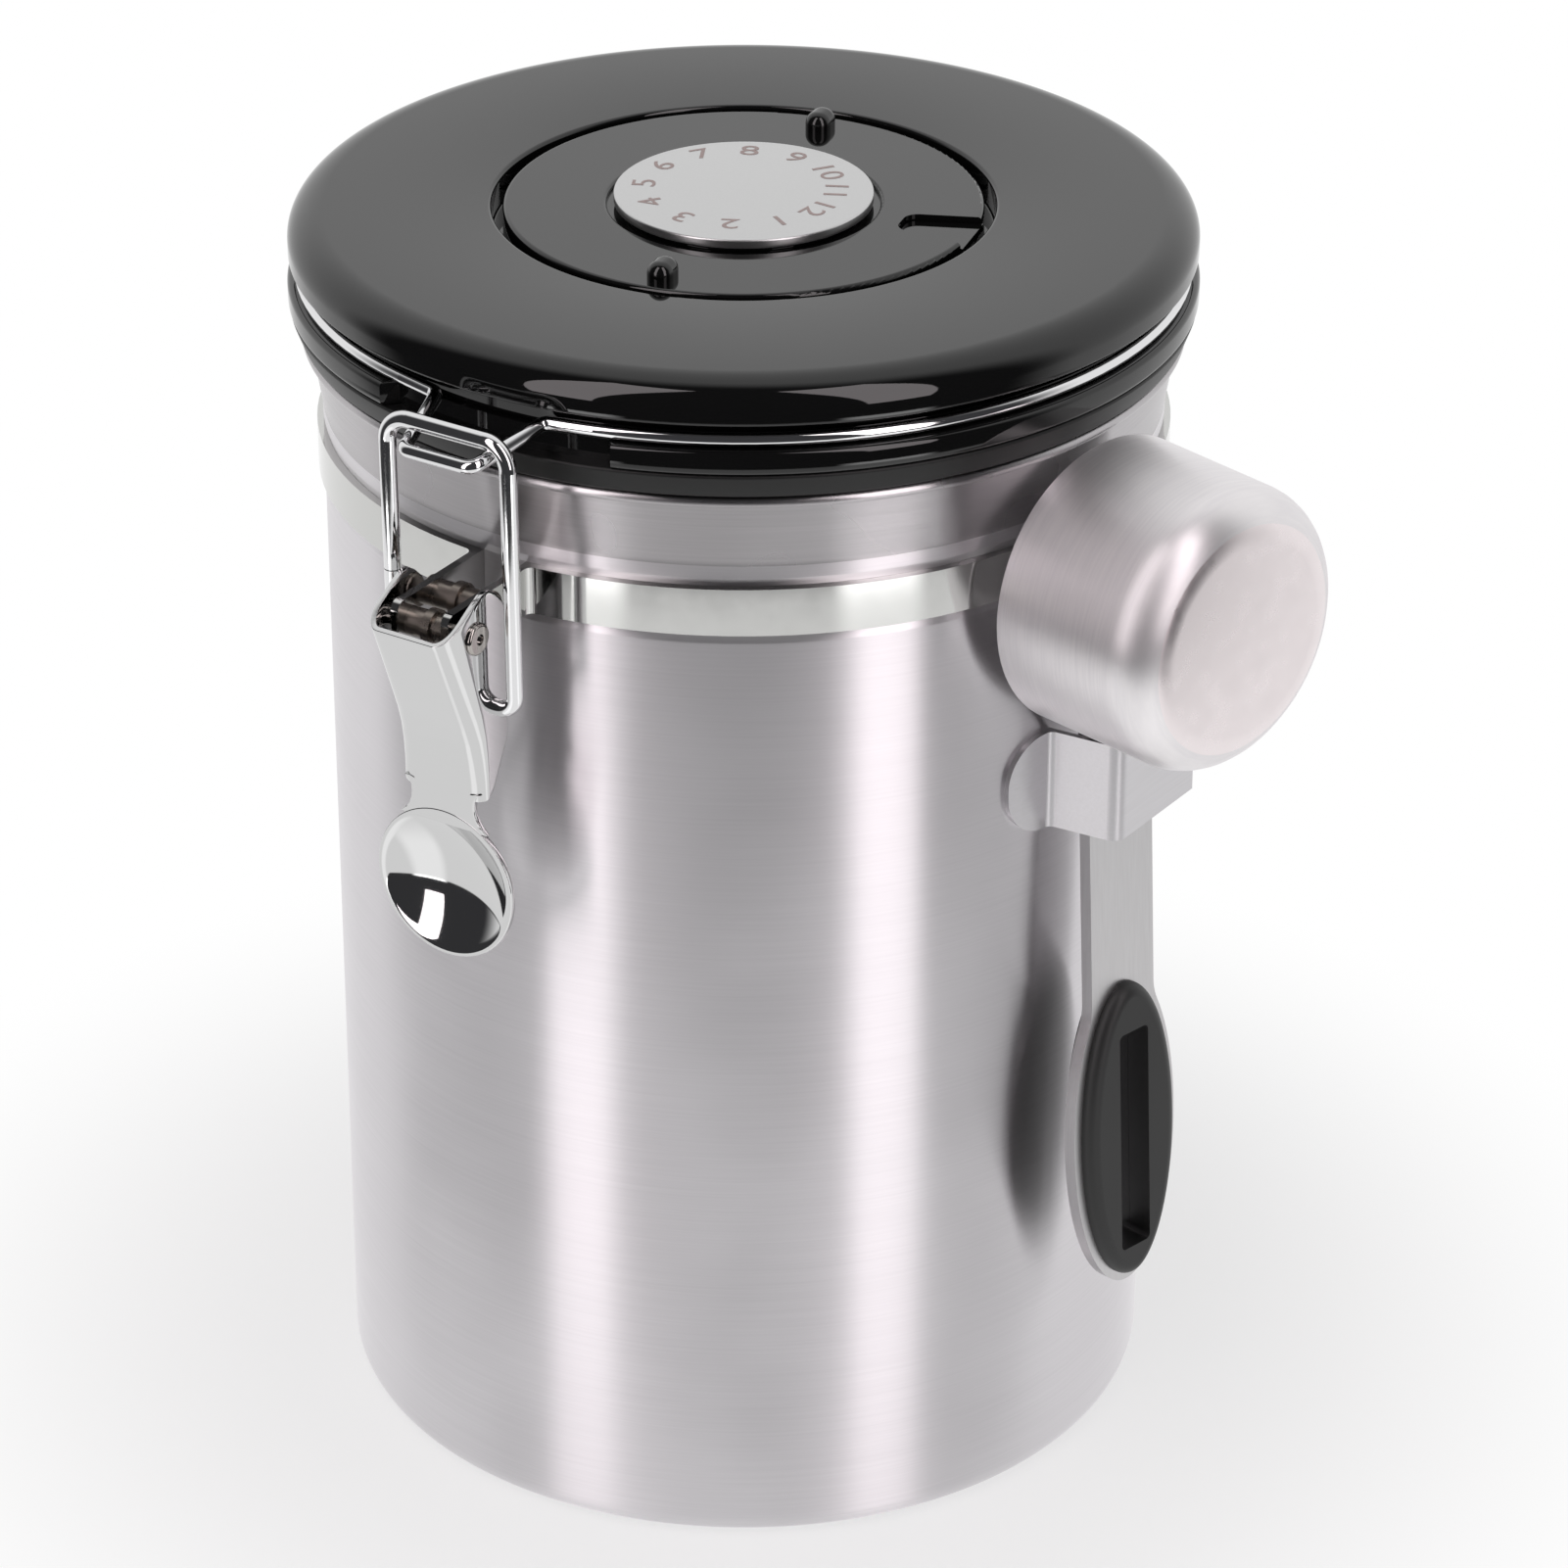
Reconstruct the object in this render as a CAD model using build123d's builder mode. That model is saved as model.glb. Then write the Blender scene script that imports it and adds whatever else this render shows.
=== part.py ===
from build123d import *
import os
from math import asin, cos, degrees, hypot, radians, sin, tan

os.makedirs("parts", exist_ok=True)

# Frame: millimetres, +Z up, origin at the middle of the base on the surface it stands on.
# The latch faces -Y, the lid hinge is at +Y and the scoop hangs at +X.
# Azimuths are in degrees from the latch side, -Y, toward the scoop side, +X.

# Clearances
overrun = 2.0
sheet_gap = 0.05
running_gap = 0.06
seat_gap = 0.1
moving_gap = 0.3

# The can
body_radius = 60.0
body_wall = 0.8
base_corner_radius = 4.1
base_foot_width = 3.0
base_rise = 1.6
neck_start_height = 158.0
neck_height = 10.0
lip_flare = 2.0
lip_bead_radius = 0.8

# The clamp band in its groove under the neck, and its two ears
band_below_neck = 10.4
band_height = 6.9
band_thickness = 1.2
band_groove_depth = 0.35
band_groove_foot = 1.6
band_groove_head = 1.2
ear_gap = 7.0
ear_length = 19.6
ear_corner_radius = 1.4
ear_bend_radius = 1.2

# The latch pins
pivot_out = 16.3
pivot_above_band = 3.1
tie_out = 10.0
tie_above_band = 4.5
pin_radius = 1.5
pin_head_radius = 2.3
pin_head_height = 0.6
tie_head_radius = 2.4
tie_head_height = 0.5
spacer_radius = 2.0
spacer_collar_radius = 2.5
spacer_collar_width = 1.3
head_round_share = 0.75
pin_bore_radius = 0.8
pin_bore_depth = 0.8

# The latch lever: sizes from its pivot
lever_sheet = 0.8
lever_width = 13.8
lever_face_out = 7.0
lever_face_above = 1.1
lever_face_slope = 21.4
lever_peak_in = 2.9
lever_peak_above = 6.1
lever_back_in = 6.8
lever_back_above = 2.4
lever_back_below = 17.2
lever_foot_in = 3.1
lever_foot_below = 24.2
lever_front_below = 25.2
lever_bend_radius = 2.4
lever_corner_radius = 2.0
lever_neck_width = 10.8
lever_neck_round = 1.6
tab_radius = 11.2
tab_rim_width = 0.8
tab_dish = 3.0
tab_in = 0.8
tab_below = 39.5
tab_root_overlap = 0.6

# The wire bail: its foot runs through the lever
bail_wire_radius = 1.2
bail_half_width = 9.8
bail_foot_in = 4.6
bail_foot_below = 12.2
bail_lean = 0.6
bail_top_corner = 3.6
bail_nose_gap = 0.62
bail_foot_corner = 2.6
bail_seam_share = 0.42
bail_seam_gap = 0.15

# The lid: base, gasket and cover
lid_overhang = 1.4
lid_edge_width = 5.2
lid_edge_height = 3.9
lid_skirt_height = 2.1
lid_sheet = 2.0
lid_wall = 1.5
groove_height = 3.6
groove_depth = 3.4
base_ring_overhang = 1.6
base_ring_width = 6.4
base_ring_height = 3.5
base_edge_round = 0.8
base_floor_thickness = 2.0
latch_recess_angle = 16.3
latch_recess_depth = 2.6
plug_gap = 2.2
plug_wall = 2.0
plug_depth = 10.5
gasket_height = 3.7
gasket_taper = 1.4
gasket_rim_inset = 0.1
boss_radius = 3.0
boss_in = 9.0
screw_count = 4
screw_start_angle = 45.0
screw_radius = 1.2
screw_length = 8.0
screw_head_radius = 2.3
screw_head_height = 1.4

# The wire hoop round the lid, with the nose that the bail pulls on
hoop_wire_radius = 1.0
hoop_play = 0.6
nose_root_angle = 14.5
nose_root_half_width = 8.7
nose_tip_half_width = 5.6
nose_out = 14.5
nose_drop = 2.7
hoop_bend_radius = 1.6

# The lid hinge at the back
hinge_out = 11.5
hinge_above_neck = 10.5
hinge_wall = 1.04
hinge_barrel_length = 12.0
hinge_leg_half_width = 8.9
hinge_leg_out = 8.0
bracket_sheet = 1.2
bracket_knee_rise = 0.9
bracket_shoulder_drop = 6.0
rivet_radius = 1.0
rivet_head_radius = 1.8
rivet_head_height = 0.7
rivet_spacing = 6.4
bracket_rivet_count = 2

# The date ring and the dial
ring_recess_radius = 35.5
ring_recess_depth = 4.4
ring_outer_radius = 33.9
ring_bore_radius = 19.2
ring_thickness = 4.0
ring_lip_inner_radius = 17.3
ring_lip_height = 3.3
ring_edge_round = 0.6
nub_azimuth = 11.0
nub_count = 2
nub_circle = 29.6
nub_length = 5.2
nub_width = 3.8
nub_height = 2.6
nub_round = 1.7
notch_azimuth = 103.5
notch_inner_circle = 23.3
notch_inner_width = 5.6
notch_inner_round = 2.2
notch_rim_width = 10.0
notch_depth = 2.0
dial_radius = 18.3
dial_thickness = 1.3
dial_chamfer = 0.3
dial_above_lid = 1.4
dial_recess_radius = 12.5
dial_recess_depth = 0.6
hub_radius = 17.0
hub_wall = 1.6
hub_vent_count = 6
hub_vent_radius = 1.5
hub_vent_circle = 10.0
hub_slot_width = 3.0
hub_slot_depth = 0.6

# The one-way valve under the dial
seat_radius = 9.5
seat_flange_radius = 11.4
seat_flange_thickness = 0.8
seat_hole_count = 6
seat_hole_radius = 1.2
seat_hole_circle = 4.6
flap_radius = 8.0
flap_thickness = 0.8
flap_travel = 0.9
post_radius = 1.5
post_head_radius = 3.0
post_head_height = 0.8
collar_bore_radius = 13.2
collar_wall = 1.4
collar_depth = 5.6
filter_thickness = 1.2
cap_thickness = 1.2
cap_hole_radius = 0.9
cap_hole_pitch = 3.4
cap_hole_rings = 3
cap_holes_per_ring = 6

# The scoop
scoop_azimuth = 76.0
scoop_out = 3.3
scoop_shift = 8.4
scoop_top_above_neck = 9.2
bowl_rim_radius = 20.8
bowl_base_radius = 20.5
bowl_depth = 26.8
bowl_corner_radius = 6.5
bowl_wall = 0.8
handle_out = 2.0
handle_shift = 2.2
handle_top_rise = 1.6
handle_lean = 3.0
handle_width = 12.6
handle_thickness = 2.0
saddle_start = 0.4
saddle_length = 12.0
saddle_thickness = 1.0
scoop_rivet_spacing = 5.6
scoop_rivet_head_height = 0.4
grip_drop = 86.9
grip_width = 20.6
grip_length = 50.2
grip_neck_radius = 9.0
front_pad_inset = 1.4
back_pad_inset = 1.3
pad_thickness = 2.1
pad_edge_radius = 1.8
slot_width = 5.8
slot_length = 35.2
slot_drop = 1.0
slot_corner_radius = 0.8
slot_liner = 1.0

# The scoop holder, an open hook of sheet welded to the can
holder_azimuth = 88.0
holder_top_gap = 1.5
holder_height = 14.9
holder_sheet = 0.9
holder_out = 10.6
holder_web_in = 11.2
holder_web_out = 10.1
holder_free_end = 9.8
holder_flange_length = 8.2
holder_flange_end_radius = 6.8
holder_bend_radius = 1.2

# Heights and radii that follow from the sizes above
inner_radius = body_radius - body_wall
lip_height = neck_start_height + neck_height
groove_radius = body_radius - band_groove_depth
band_inner = groove_radius + sheet_gap
band_outer = band_inner + band_thickness
band_bottom = neck_start_height - band_below_neck
band_top = band_bottom + band_height
band_middle = band_bottom + band_height / 2
lip_radius = body_radius + lip_flare
lip_top = lip_height + lip_bead_radius
lid_radius = lip_radius + lip_bead_radius + lid_overhang
base_ring_radius = lip_radius + lip_bead_radius + base_ring_overhang
plug_radius = inner_radius - plug_gap
boss_circle = plug_radius - boss_in
gasket_bottom = lip_top + moving_gap
gasket_top = gasket_bottom + gasket_height
base_ring_top = gasket_top + base_ring_height
base_floor_top = gasket_top + base_floor_thickness
groove_top = base_ring_top + groove_height
groove_root = lid_radius - groove_depth
skirt_top = groove_top + lid_skirt_height
lid_top = skirt_top + lid_edge_height
hoop_radius = groove_root + hoop_wire_radius + hoop_play
hoop_height = base_ring_top + hoop_wire_radius + seat_gap
recess_floor = lid_top - ring_recess_depth
ring_bottom = recess_floor + moving_gap
ring_top = ring_bottom + ring_thickness
dial_bottom = lid_top + dial_above_lid - dial_thickness
ear_outer = ear_gap / 2 + band_thickness
ear_end = body_radius + ear_length
pivot_at = body_radius + pivot_out
pivot_height = band_bottom + pivot_above_band
tie_at = body_radius + tie_out
tie_height = band_bottom + tie_above_band
lever_half = lever_width / 2
lever_inner_half = lever_half - lever_sheet
tab_at = pivot_at - tab_in
tab_height = pivot_height - tab_below
bail_foot_at = pivot_at - bail_foot_in
bail_foot_height = pivot_height - bail_foot_below
hinge_at = body_radius + hinge_out
hinge_height = neck_start_height + hinge_above_neck
hinge_bore_radius = hoop_wire_radius + running_gap
hinge_barrel_radius = hinge_bore_radius + hinge_wall
scoop_height = neck_start_height + scoop_top_above_neck - bowl_rim_radius
holder_bottom = scoop_height - bowl_rim_radius - holder_top_gap - holder_height


def outward(azimuth):
    """The level unit vector that points out of the can at an azimuth."""
    return Vector(sin(radians(azimuth)), -cos(radians(azimuth)), 0)


def along(azimuth):
    """The level unit vector square to outward, toward growing azimuth."""
    return Vector(cos(radians(azimuth)), sin(radians(azimuth)), 0)


# Sketches on the two side planes run outward and up
latch_side = Plane(origin=(0, 0, 0), x_dir=(0, -1, 0), z_dir=(-1, 0, 0))
hinge_side = Plane(origin=(0, 0, 0), x_dir=(0, 1, 0), z_dir=(1, 0, 0))

# The drawn can: foot, wall, groove for the band, flared neck and rolled lip
foot_outer = body_radius - base_corner_radius
foot_inner = foot_outer - base_foot_width
rise_start = foot_inner - base_rise
inner_corner = base_corner_radius - body_wall
groove_foot = band_bottom - band_groove_foot
groove_head = band_top + band_groove_head

with BuildPart() as canister_body:
    with BuildSketch(Plane.XZ):
        with BuildLine():
            Polyline((0, base_rise), (rise_start, base_rise), (foot_inner, 0), (foot_outer, 0))
            CenterArc((foot_outer, base_corner_radius), base_corner_radius, 270, 90)
            Polyline(
                (body_radius, base_corner_radius),
                (body_radius, groove_foot),
                (groove_radius, band_bottom),
                (groove_radius, band_top),
                (body_radius, groove_head),
                (body_radius, neck_start_height),
                (lip_radius, lip_height),
                (lip_radius - body_wall, lip_height),
                (inner_radius, neck_start_height),
                (inner_radius, groove_head),
                (inner_radius - band_groove_depth, band_top),
                (inner_radius - band_groove_depth, band_bottom),
                (inner_radius, groove_foot),
                (inner_radius, base_corner_radius),
            )
            CenterArc((foot_outer, base_corner_radius), inner_corner, 270, 90)
            Polyline(
                (foot_outer, body_wall),
                (foot_inner, body_wall),
                (rise_start, base_rise + body_wall),
                (0, base_rise + body_wall),
                (0, base_rise),
            )
        make_face()
    revolve(axis=Axis.Z)
    with BuildSketch(Plane.XZ):
        with Locations((lip_radius, lip_height)):
            Circle(lip_bead_radius)
    revolve(axis=Axis.Z)
canister_body.part.label = "canister_body"
export_step(canister_body.part, "parts/canister_body.step")

# The clamp band: its two ends bend outward as flat ears
with BuildPart() as clamp_band:
    with BuildSketch(Plane.XY.offset(band_bottom)) as band_plan:
        Circle(band_outer)
        Circle(band_inner, mode=Mode.SUBTRACT)
        with Locations((0, -band_outer)):
            Rectangle(ear_gap, 2 * band_outer - 2 * inner_radius, mode=Mode.SUBTRACT)
        for side in (-1, 1):
            ear_start = band_inner * cos(asin(ear_outer / band_inner)) + sheet_gap
            with Locations((side * (ear_outer - band_thickness / 2), -(ear_start + ear_end) / 2)):
                Rectangle(band_thickness, ear_end - ear_start)
        ear_bends = [
            corner
            for corner in band_plan.vertices()
            if abs(abs(corner.X) - ear_outer) < sheet_gap and abs(corner.Y + band_outer) < band_thickness
        ]
        fillet(ear_bends, ear_bend_radius)
    extrude(amount=band_height)
    ear_corners = clamp_band.edges().filter_by(Axis.X).group_by(Axis.Y)[0]
    fillet(ear_corners, ear_corner_radius)
    with BuildSketch(latch_side):
        with Locations((pivot_at, pivot_height), (tie_at, tie_height)):
            Circle(pin_radius + sheet_gap)
    extrude(amount=ear_outer + overrun, both=True, mode=Mode.SUBTRACT)
    with BuildSketch(Plane(origin=(0, 0, band_middle), x_dir=(-1, 0, 0), z_dir=(0, 1, 0))):
        with GridLocations(rivet_spacing, band_height, bracket_rivet_count, 1):
            Circle(rivet_radius + sheet_gap)
    extrude(amount=band_outer + overrun, mode=Mode.SUBTRACT)
clamp_band.part.label = "clamp_band"
export_step(clamp_band.part, "parts/clamp_band.step")

# The rivet that ties the two ears together, with low heads outside them
with BuildPart() as ear_tie_rivet:
    with BuildSketch(latch_side):
        with Locations((tie_at, tie_height)):
            Circle(pin_radius)
    extrude(amount=ear_outer, both=True)
    for side in (-1, 1):
        with BuildSketch(latch_side.offset(side * ear_outer)):
            with Locations((tie_at, tie_height)):
                Circle(tie_head_radius)
        extrude(amount=side * tie_head_height)
    head_rims = ear_tie_rivet.edges().filter_by(GeomType.CIRCLE).group_by(SortBy.RADIUS)[-1]
    far_rims = [rim for rim in head_rims if abs(rim.center().X) > ear_outer + tie_head_height / 2]
    fillet(far_rims, tie_head_height * head_round_share)
ear_tie_rivet.part.label = "ear_tie_rivet"
export_step(ear_tie_rivet.part, "parts/ear_tie_rivet.step")

# The lever's pivot pin: its ends are hollow and flared over the lever walls
with BuildPart() as lever_pivot_pin:
    with BuildSketch(latch_side):
        with Locations((pivot_at, pivot_height)):
            Circle(pin_radius)
    extrude(amount=lever_half + sheet_gap, both=True)
    for side in (-1, 1):
        with BuildSketch(latch_side.offset(side * (lever_half + sheet_gap))):
            with Locations((pivot_at, pivot_height)):
                Circle(pin_head_radius)
        extrude(amount=side * pin_head_height)
    pin_rims = lever_pivot_pin.edges().filter_by(GeomType.CIRCLE).group_by(SortBy.RADIUS)[-1]
    end_rims = [rim for rim in pin_rims if abs(rim.center().X) > lever_half + pin_head_height / 2]
    fillet(end_rims, pin_head_height * head_round_share)
    for side in (-1, 1):
        pin_end = lever_half + sheet_gap + pin_head_height
        with BuildSketch(latch_side.offset(side * pin_end)):
            with Locations((pivot_at, pivot_height)):
                Circle(pin_bore_radius)
        extrude(amount=-side * pin_bore_depth, mode=Mode.SUBTRACT)
lever_pivot_pin.part.label = "lever_pivot_pin"
export_step(lever_pivot_pin.part, "parts/lever_pivot_pin.step")


# A sleeve with a collar in its middle keeps the ears apart on each of the two pins
spacers = {"ear_spacer": (tie_at, tie_height), "pivot_spacer": (pivot_at, pivot_height)}
for spacer_name, spacer_spot in spacers.items():
    with BuildPart() as spacer:
        with BuildSketch(latch_side):
            with Locations(spacer_spot):
                Circle(spacer_radius)
                Circle(pin_radius + sheet_gap, mode=Mode.SUBTRACT)
        extrude(amount=ear_gap / 2, both=True)
        with BuildSketch(latch_side):
            with Locations(spacer_spot):
                Circle(spacer_collar_radius)
                Circle(pin_radius + sheet_gap, mode=Mode.SUBTRACT)
        extrude(amount=spacer_collar_width / 2, both=True)
    spacer.part.label = spacer_name
    export_step(spacer.part, f"parts/{spacer_name}.step")

# The latch lever: a folded channel whose sloping face runs down to a round dished thumb tab.
# Its side outline runs from the top of the face over the walls and down to the neck.
face_rise = cos(radians(lever_face_slope))
face_run = sin(radians(lever_face_slope))
face_top = (pivot_at + lever_face_out, pivot_height + lever_face_above)
neck_top = face_top[1] - (face_top[0] - tab_at) * face_rise / face_run
lever_peak = (pivot_at - lever_peak_in, pivot_height + lever_peak_above)
lever_back_top = (pivot_at - lever_back_in, pivot_height + lever_back_above)
lever_back_foot = (pivot_at - lever_back_in, pivot_height - lever_back_below)
lever_foot = (pivot_at - lever_foot_in, pivot_height - lever_foot_below)
lever_front_foot = (tab_at, pivot_height - lever_front_below)
inner_face_top = (
    face_top[0] - lever_sheet * face_rise + lever_peak_above * face_run,
    face_top[1] + lever_sheet * face_run + lever_peak_above * face_rise,
)
inner_neck = tab_at - lever_sheet
inner_neck_top = inner_face_top[1] - (inner_face_top[0] - inner_neck) * face_rise / face_run
hollow_back = lever_back_top[0] - overrun
hollow_foot = lever_foot[1] - overrun

with BuildPart() as lever_hollow:
    with BuildSketch(latch_side):
        with BuildLine():
            Polyline(
                inner_face_top,
                (hollow_back, inner_face_top[1]),
                (hollow_back, hollow_foot),
                (inner_neck, hollow_foot),
                (inner_neck, inner_neck_top),
                close=True,
            )
        make_face()
    extrude(amount=lever_inner_half, both=True)
    hollow_fronts = lever_hollow.faces().filter_by(Axis.X).edges().filter_by_position(
        Axis.Y, -inner_face_top[0], -inner_neck
    )
    hollow_bends = [edge for edge in hollow_fronts if edge.length > lever_peak_above]
    fillet(hollow_bends, lever_bend_radius - lever_sheet)

with BuildPart() as latch_lever:
    with BuildSketch(latch_side) as lever_wall:
        with BuildLine():
            Polyline(
                face_top,
                lever_peak,
                lever_back_top,
                lever_back_foot,
                lever_foot,
                lever_front_foot,
                (tab_at, neck_top),
                close=True,
            )
        make_face()
        round_corners = [
            corner
            for corner in lever_wall.vertices()
            if min(
                hypot(corner.X - lever_peak[0], corner.Y - lever_peak[1]),
                hypot(corner.X - lever_back_top[0], corner.Y - lever_back_top[1]),
                hypot(corner.X - lever_back_foot[0], corner.Y - lever_back_foot[1]),
            )
            < sheet_gap
        ]
        fillet(round_corners, lever_corner_radius)
    extrude(amount=lever_half, both=True)
    face_length = (face_top[1] - neck_top) / face_rise
    face_sides = [
        edge
        for edge in latch_lever.edges()
        if abs(edge.length - face_length) < sheet_gap and abs(abs(edge.center().X) - lever_half) < sheet_gap
    ]
    fillet(face_sides, lever_bend_radius)
    add(lever_hollow.part, mode=Mode.SUBTRACT)
    with BuildSketch(Plane(origin=(0, -tab_at, tab_height), x_dir=(1, 0, 0), z_dir=(0, -1, 0))) as neck_plan:
        neck_length = lever_front_foot[1] + lever_sheet - tab_height
        with Locations((0, neck_length / 2)):
            Rectangle(lever_neck_width, neck_length)
        Circle(tab_radius)
        neck_roots = [corner for corner in neck_plan.vertices() if 0 < corner.Y < neck_length - lever_sheet]
        fillet(neck_roots, lever_neck_round)
        Circle(tab_radius - tab_root_overlap, mode=Mode.SUBTRACT)
    extrude(amount=-lever_sheet)
    dish_reach = tab_radius - tab_rim_width
    dish_radius = (dish_reach**2 + tab_dish**2) / (2 * tab_dish)
    with BuildSketch(Plane(origin=(0, -tab_at, tab_height), x_dir=(1, 0, 0), z_dir=(0, 0, 1))):
        with Locations((0, tab_dish - dish_radius)):
            Circle(dish_radius + lever_sheet)
            Circle(dish_radius, mode=Mode.SUBTRACT)
        with Locations((dish_reach / 2, tab_dish)):
            Rectangle(dish_reach, 2 * (tab_dish + lever_sheet), mode=Mode.INTERSECT)
        with Locations((dish_reach, 0)):
            Rectangle(tab_rim_width, lever_sheet, align=Align.MIN)
    revolve(axis=Axis((0, -tab_at, tab_height), (0, 1, 0)))
    with BuildSketch(latch_side):
        with Locations((pivot_at, pivot_height)):
            Circle(pin_radius + running_gap)
        with Locations((bail_foot_at, bail_foot_height)):
            Circle(bail_wire_radius + running_gap)
    extrude(amount=lever_half + overrun, both=True, mode=Mode.SUBTRACT)
latch_lever.part.label = "latch_lever"
export_step(latch_lever.part, "parts/latch_lever.step")

# The wire bail: one closed loop through the lever, butted on one leg and hooked over the nose
nose_at = body_radius + nose_out
nose_root_out = hoop_radius * cos(radians(nose_root_angle)) + (
    hoop_radius * sin(radians(nose_root_angle)) - nose_root_half_width
) * tan(radians(nose_root_angle))
bail_top_at = bail_foot_at + bail_lean
nose_share_at_bail = (bail_top_at - nose_root_out) / (nose_at - nose_root_out)
bail_top_height = (
    hoop_height - nose_drop * nose_share_at_bail + hoop_wire_radius + bail_wire_radius + bail_nose_gap
)
bail_length = hypot(bail_lean, bail_top_height - bail_foot_height)
bail_tilt = asin(bail_lean / bail_length)
bail_plane = Plane(
    origin=(0, -bail_foot_at, bail_foot_height), x_dir=(1, 0, 0), z_dir=(0, -cos(bail_tilt), -sin(bail_tilt))
)
seam_at = bail_length * bail_seam_share

with BuildPart() as latch_bail:
    with BuildLine(bail_plane) as bail_path:
        FilletPolyline(
            (-bail_half_width, seam_at + bail_seam_gap),
            (-bail_half_width, bail_length),
            (bail_half_width, bail_length),
            (bail_half_width, 0),
            (-bail_half_width, 0),
            (-bail_half_width, seam_at),
            radius=[bail_top_corner, bail_top_corner, bail_foot_corner, bail_foot_corner],
        )
    bail_wire = bail_path.wire()
    with BuildSketch(Plane(origin=bail_wire @ 0, z_dir=bail_wire % 0)):
        Circle(bail_wire_radius)
    sweep(path=bail_wire)
latch_bail.part.label = "latch_bail"
export_step(latch_bail.part, "parts/latch_bail.step")

# The lid's base: outer ring cut back at the latch, floor, plug ring and valve collar
with BuildPart() as lid_base:
    with BuildSketch(Plane.XZ):
        with Locations((base_ring_radius - base_ring_width, gasket_top)):
            Rectangle(base_ring_width, base_ring_height, align=Align.MIN)
        with Locations((seat_radius + sheet_gap, gasket_top)):
            Rectangle(base_ring_radius - base_ring_width - seat_radius, base_floor_thickness, align=Align.MIN)
        with Locations((plug_radius - plug_wall, gasket_top - plug_depth)):
            Rectangle(plug_wall, plug_depth, align=Align.MIN)
        with Locations((collar_bore_radius, gasket_top - collar_depth)):
            Rectangle(collar_wall, collar_depth, align=Align.MIN)
    revolve(axis=Axis.Z)
    ring_rims = lid_base.edges().filter_by(GeomType.CIRCLE).group_by(SortBy.RADIUS)[-1]
    fillet(ring_rims, base_edge_round)
    recess_edge = base_ring_radius - latch_recess_depth
    with BuildSketch(Plane.XY.offset(gasket_top)):
        with BuildLine():
            reach = base_ring_radius + overrun
            left = outward(-latch_recess_angle)
            right = outward(latch_recess_angle)
            RadiusArc(left * recess_edge, right * recess_edge, -recess_edge)
            Line(right * recess_edge, right * reach)
            RadiusArc(right * reach, left * reach, reach)
            Line(left * reach, left * recess_edge)
        make_face()
    extrude(amount=base_ring_height, mode=Mode.SUBTRACT)
    with BuildSketch(Plane.XY.offset(gasket_top)):
        with PolarLocations(boss_circle, screw_count, start_angle=screw_start_angle):
            Circle(screw_radius + sheet_gap)
    extrude(amount=base_floor_thickness, mode=Mode.SUBTRACT)
lid_base.part.label = "lid_base"
export_step(lid_base.part, "parts/lid_base.step")

# The rubber gasket between the lid's base and the can's lip
with BuildPart() as gasket:
    gasket_radius = base_ring_radius - gasket_rim_inset
    with BuildSketch(Plane.XZ):
        with BuildLine():
            Polyline(
                (plug_radius + seat_gap, gasket_bottom),
                (gasket_radius - gasket_taper, gasket_bottom),
                (gasket_radius, gasket_top),
                (plug_radius + seat_gap, gasket_top),
                close=True,
            )
        make_face()
    revolve(axis=Axis.Z)
gasket.part.label = "gasket"
export_step(gasket.part, "parts/gasket.step")

# The moulded lid cover, with the round recess for the date ring and the hub for the dial
quarter_turn = 360 / 4
recess_underside = recess_floor - lid_wall
hub_top_underside = dial_bottom - hub_wall

with BuildPart() as lid_cover:
    with BuildSketch(Plane.XZ):
        with BuildLine():
            Polyline(
                (0, dial_bottom),
                (hub_radius, dial_bottom),
                (hub_radius, recess_floor),
                (ring_recess_radius, recess_floor),
                (ring_recess_radius, lid_top),
                (lid_radius - lid_edge_width, lid_top),
            )
            EllipticalCenterArc(
                (lid_radius - lid_edge_width, skirt_top), lid_edge_width, lid_edge_height, 0, arc_size=quarter_turn
            )
            Polyline(
                (lid_radius, skirt_top),
                (lid_radius, groove_top),
                (groove_root, groove_top),
                (groove_root, base_ring_top),
                (groove_root - lid_wall, base_ring_top),
                (groove_root - lid_wall, lid_top - lid_sheet),
                (ring_recess_radius + lid_wall, lid_top - lid_sheet),
                (ring_recess_radius + lid_wall, recess_underside),
                (hub_radius - hub_wall, recess_underside),
                (hub_radius - hub_wall, hub_top_underside),
                (0, hub_top_underside),
                (0, dial_bottom),
            )
        make_face()
    revolve(axis=Axis.Z)
    recess_rims = lid_cover.edges().filter_by(GeomType.CIRCLE).group_by(Axis.Z)[-1]
    fillet(recess_rims.group_by(SortBy.RADIUS)[0], ring_edge_round)
    with BuildSketch(Plane.XY.offset(base_floor_top)):
        with PolarLocations(boss_circle, screw_count, start_angle=screw_start_angle):
            Circle(boss_radius)
    extrude(amount=lid_top - lid_sheet - base_floor_top)
    with BuildSketch(Plane.XY.offset(base_floor_top)):
        with PolarLocations(boss_circle, screw_count, start_angle=screw_start_angle):
            Circle(screw_radius + sheet_gap)
    extrude(amount=screw_length, mode=Mode.SUBTRACT)
    with BuildSketch(Plane.XY.offset(dial_bottom)):
        with PolarLocations(hub_vent_circle, hub_vent_count):
            Circle(hub_vent_radius)
    extrude(amount=-hub_wall, mode=Mode.SUBTRACT)
    with BuildSketch(Plane.XY.offset(dial_bottom)):
        slot_reach = hub_radius + overrun - dial_recess_radius + hub_slot_width
        with PolarLocations(hub_radius + overrun - slot_reach / 2, hub_vent_count):
            Rectangle(slot_reach, hub_slot_width)
    extrude(amount=-hub_slot_depth, mode=Mode.SUBTRACT)
lid_cover.part.label = "lid_cover"
export_step(lid_cover.part, "parts/lid_cover.step")

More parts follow.
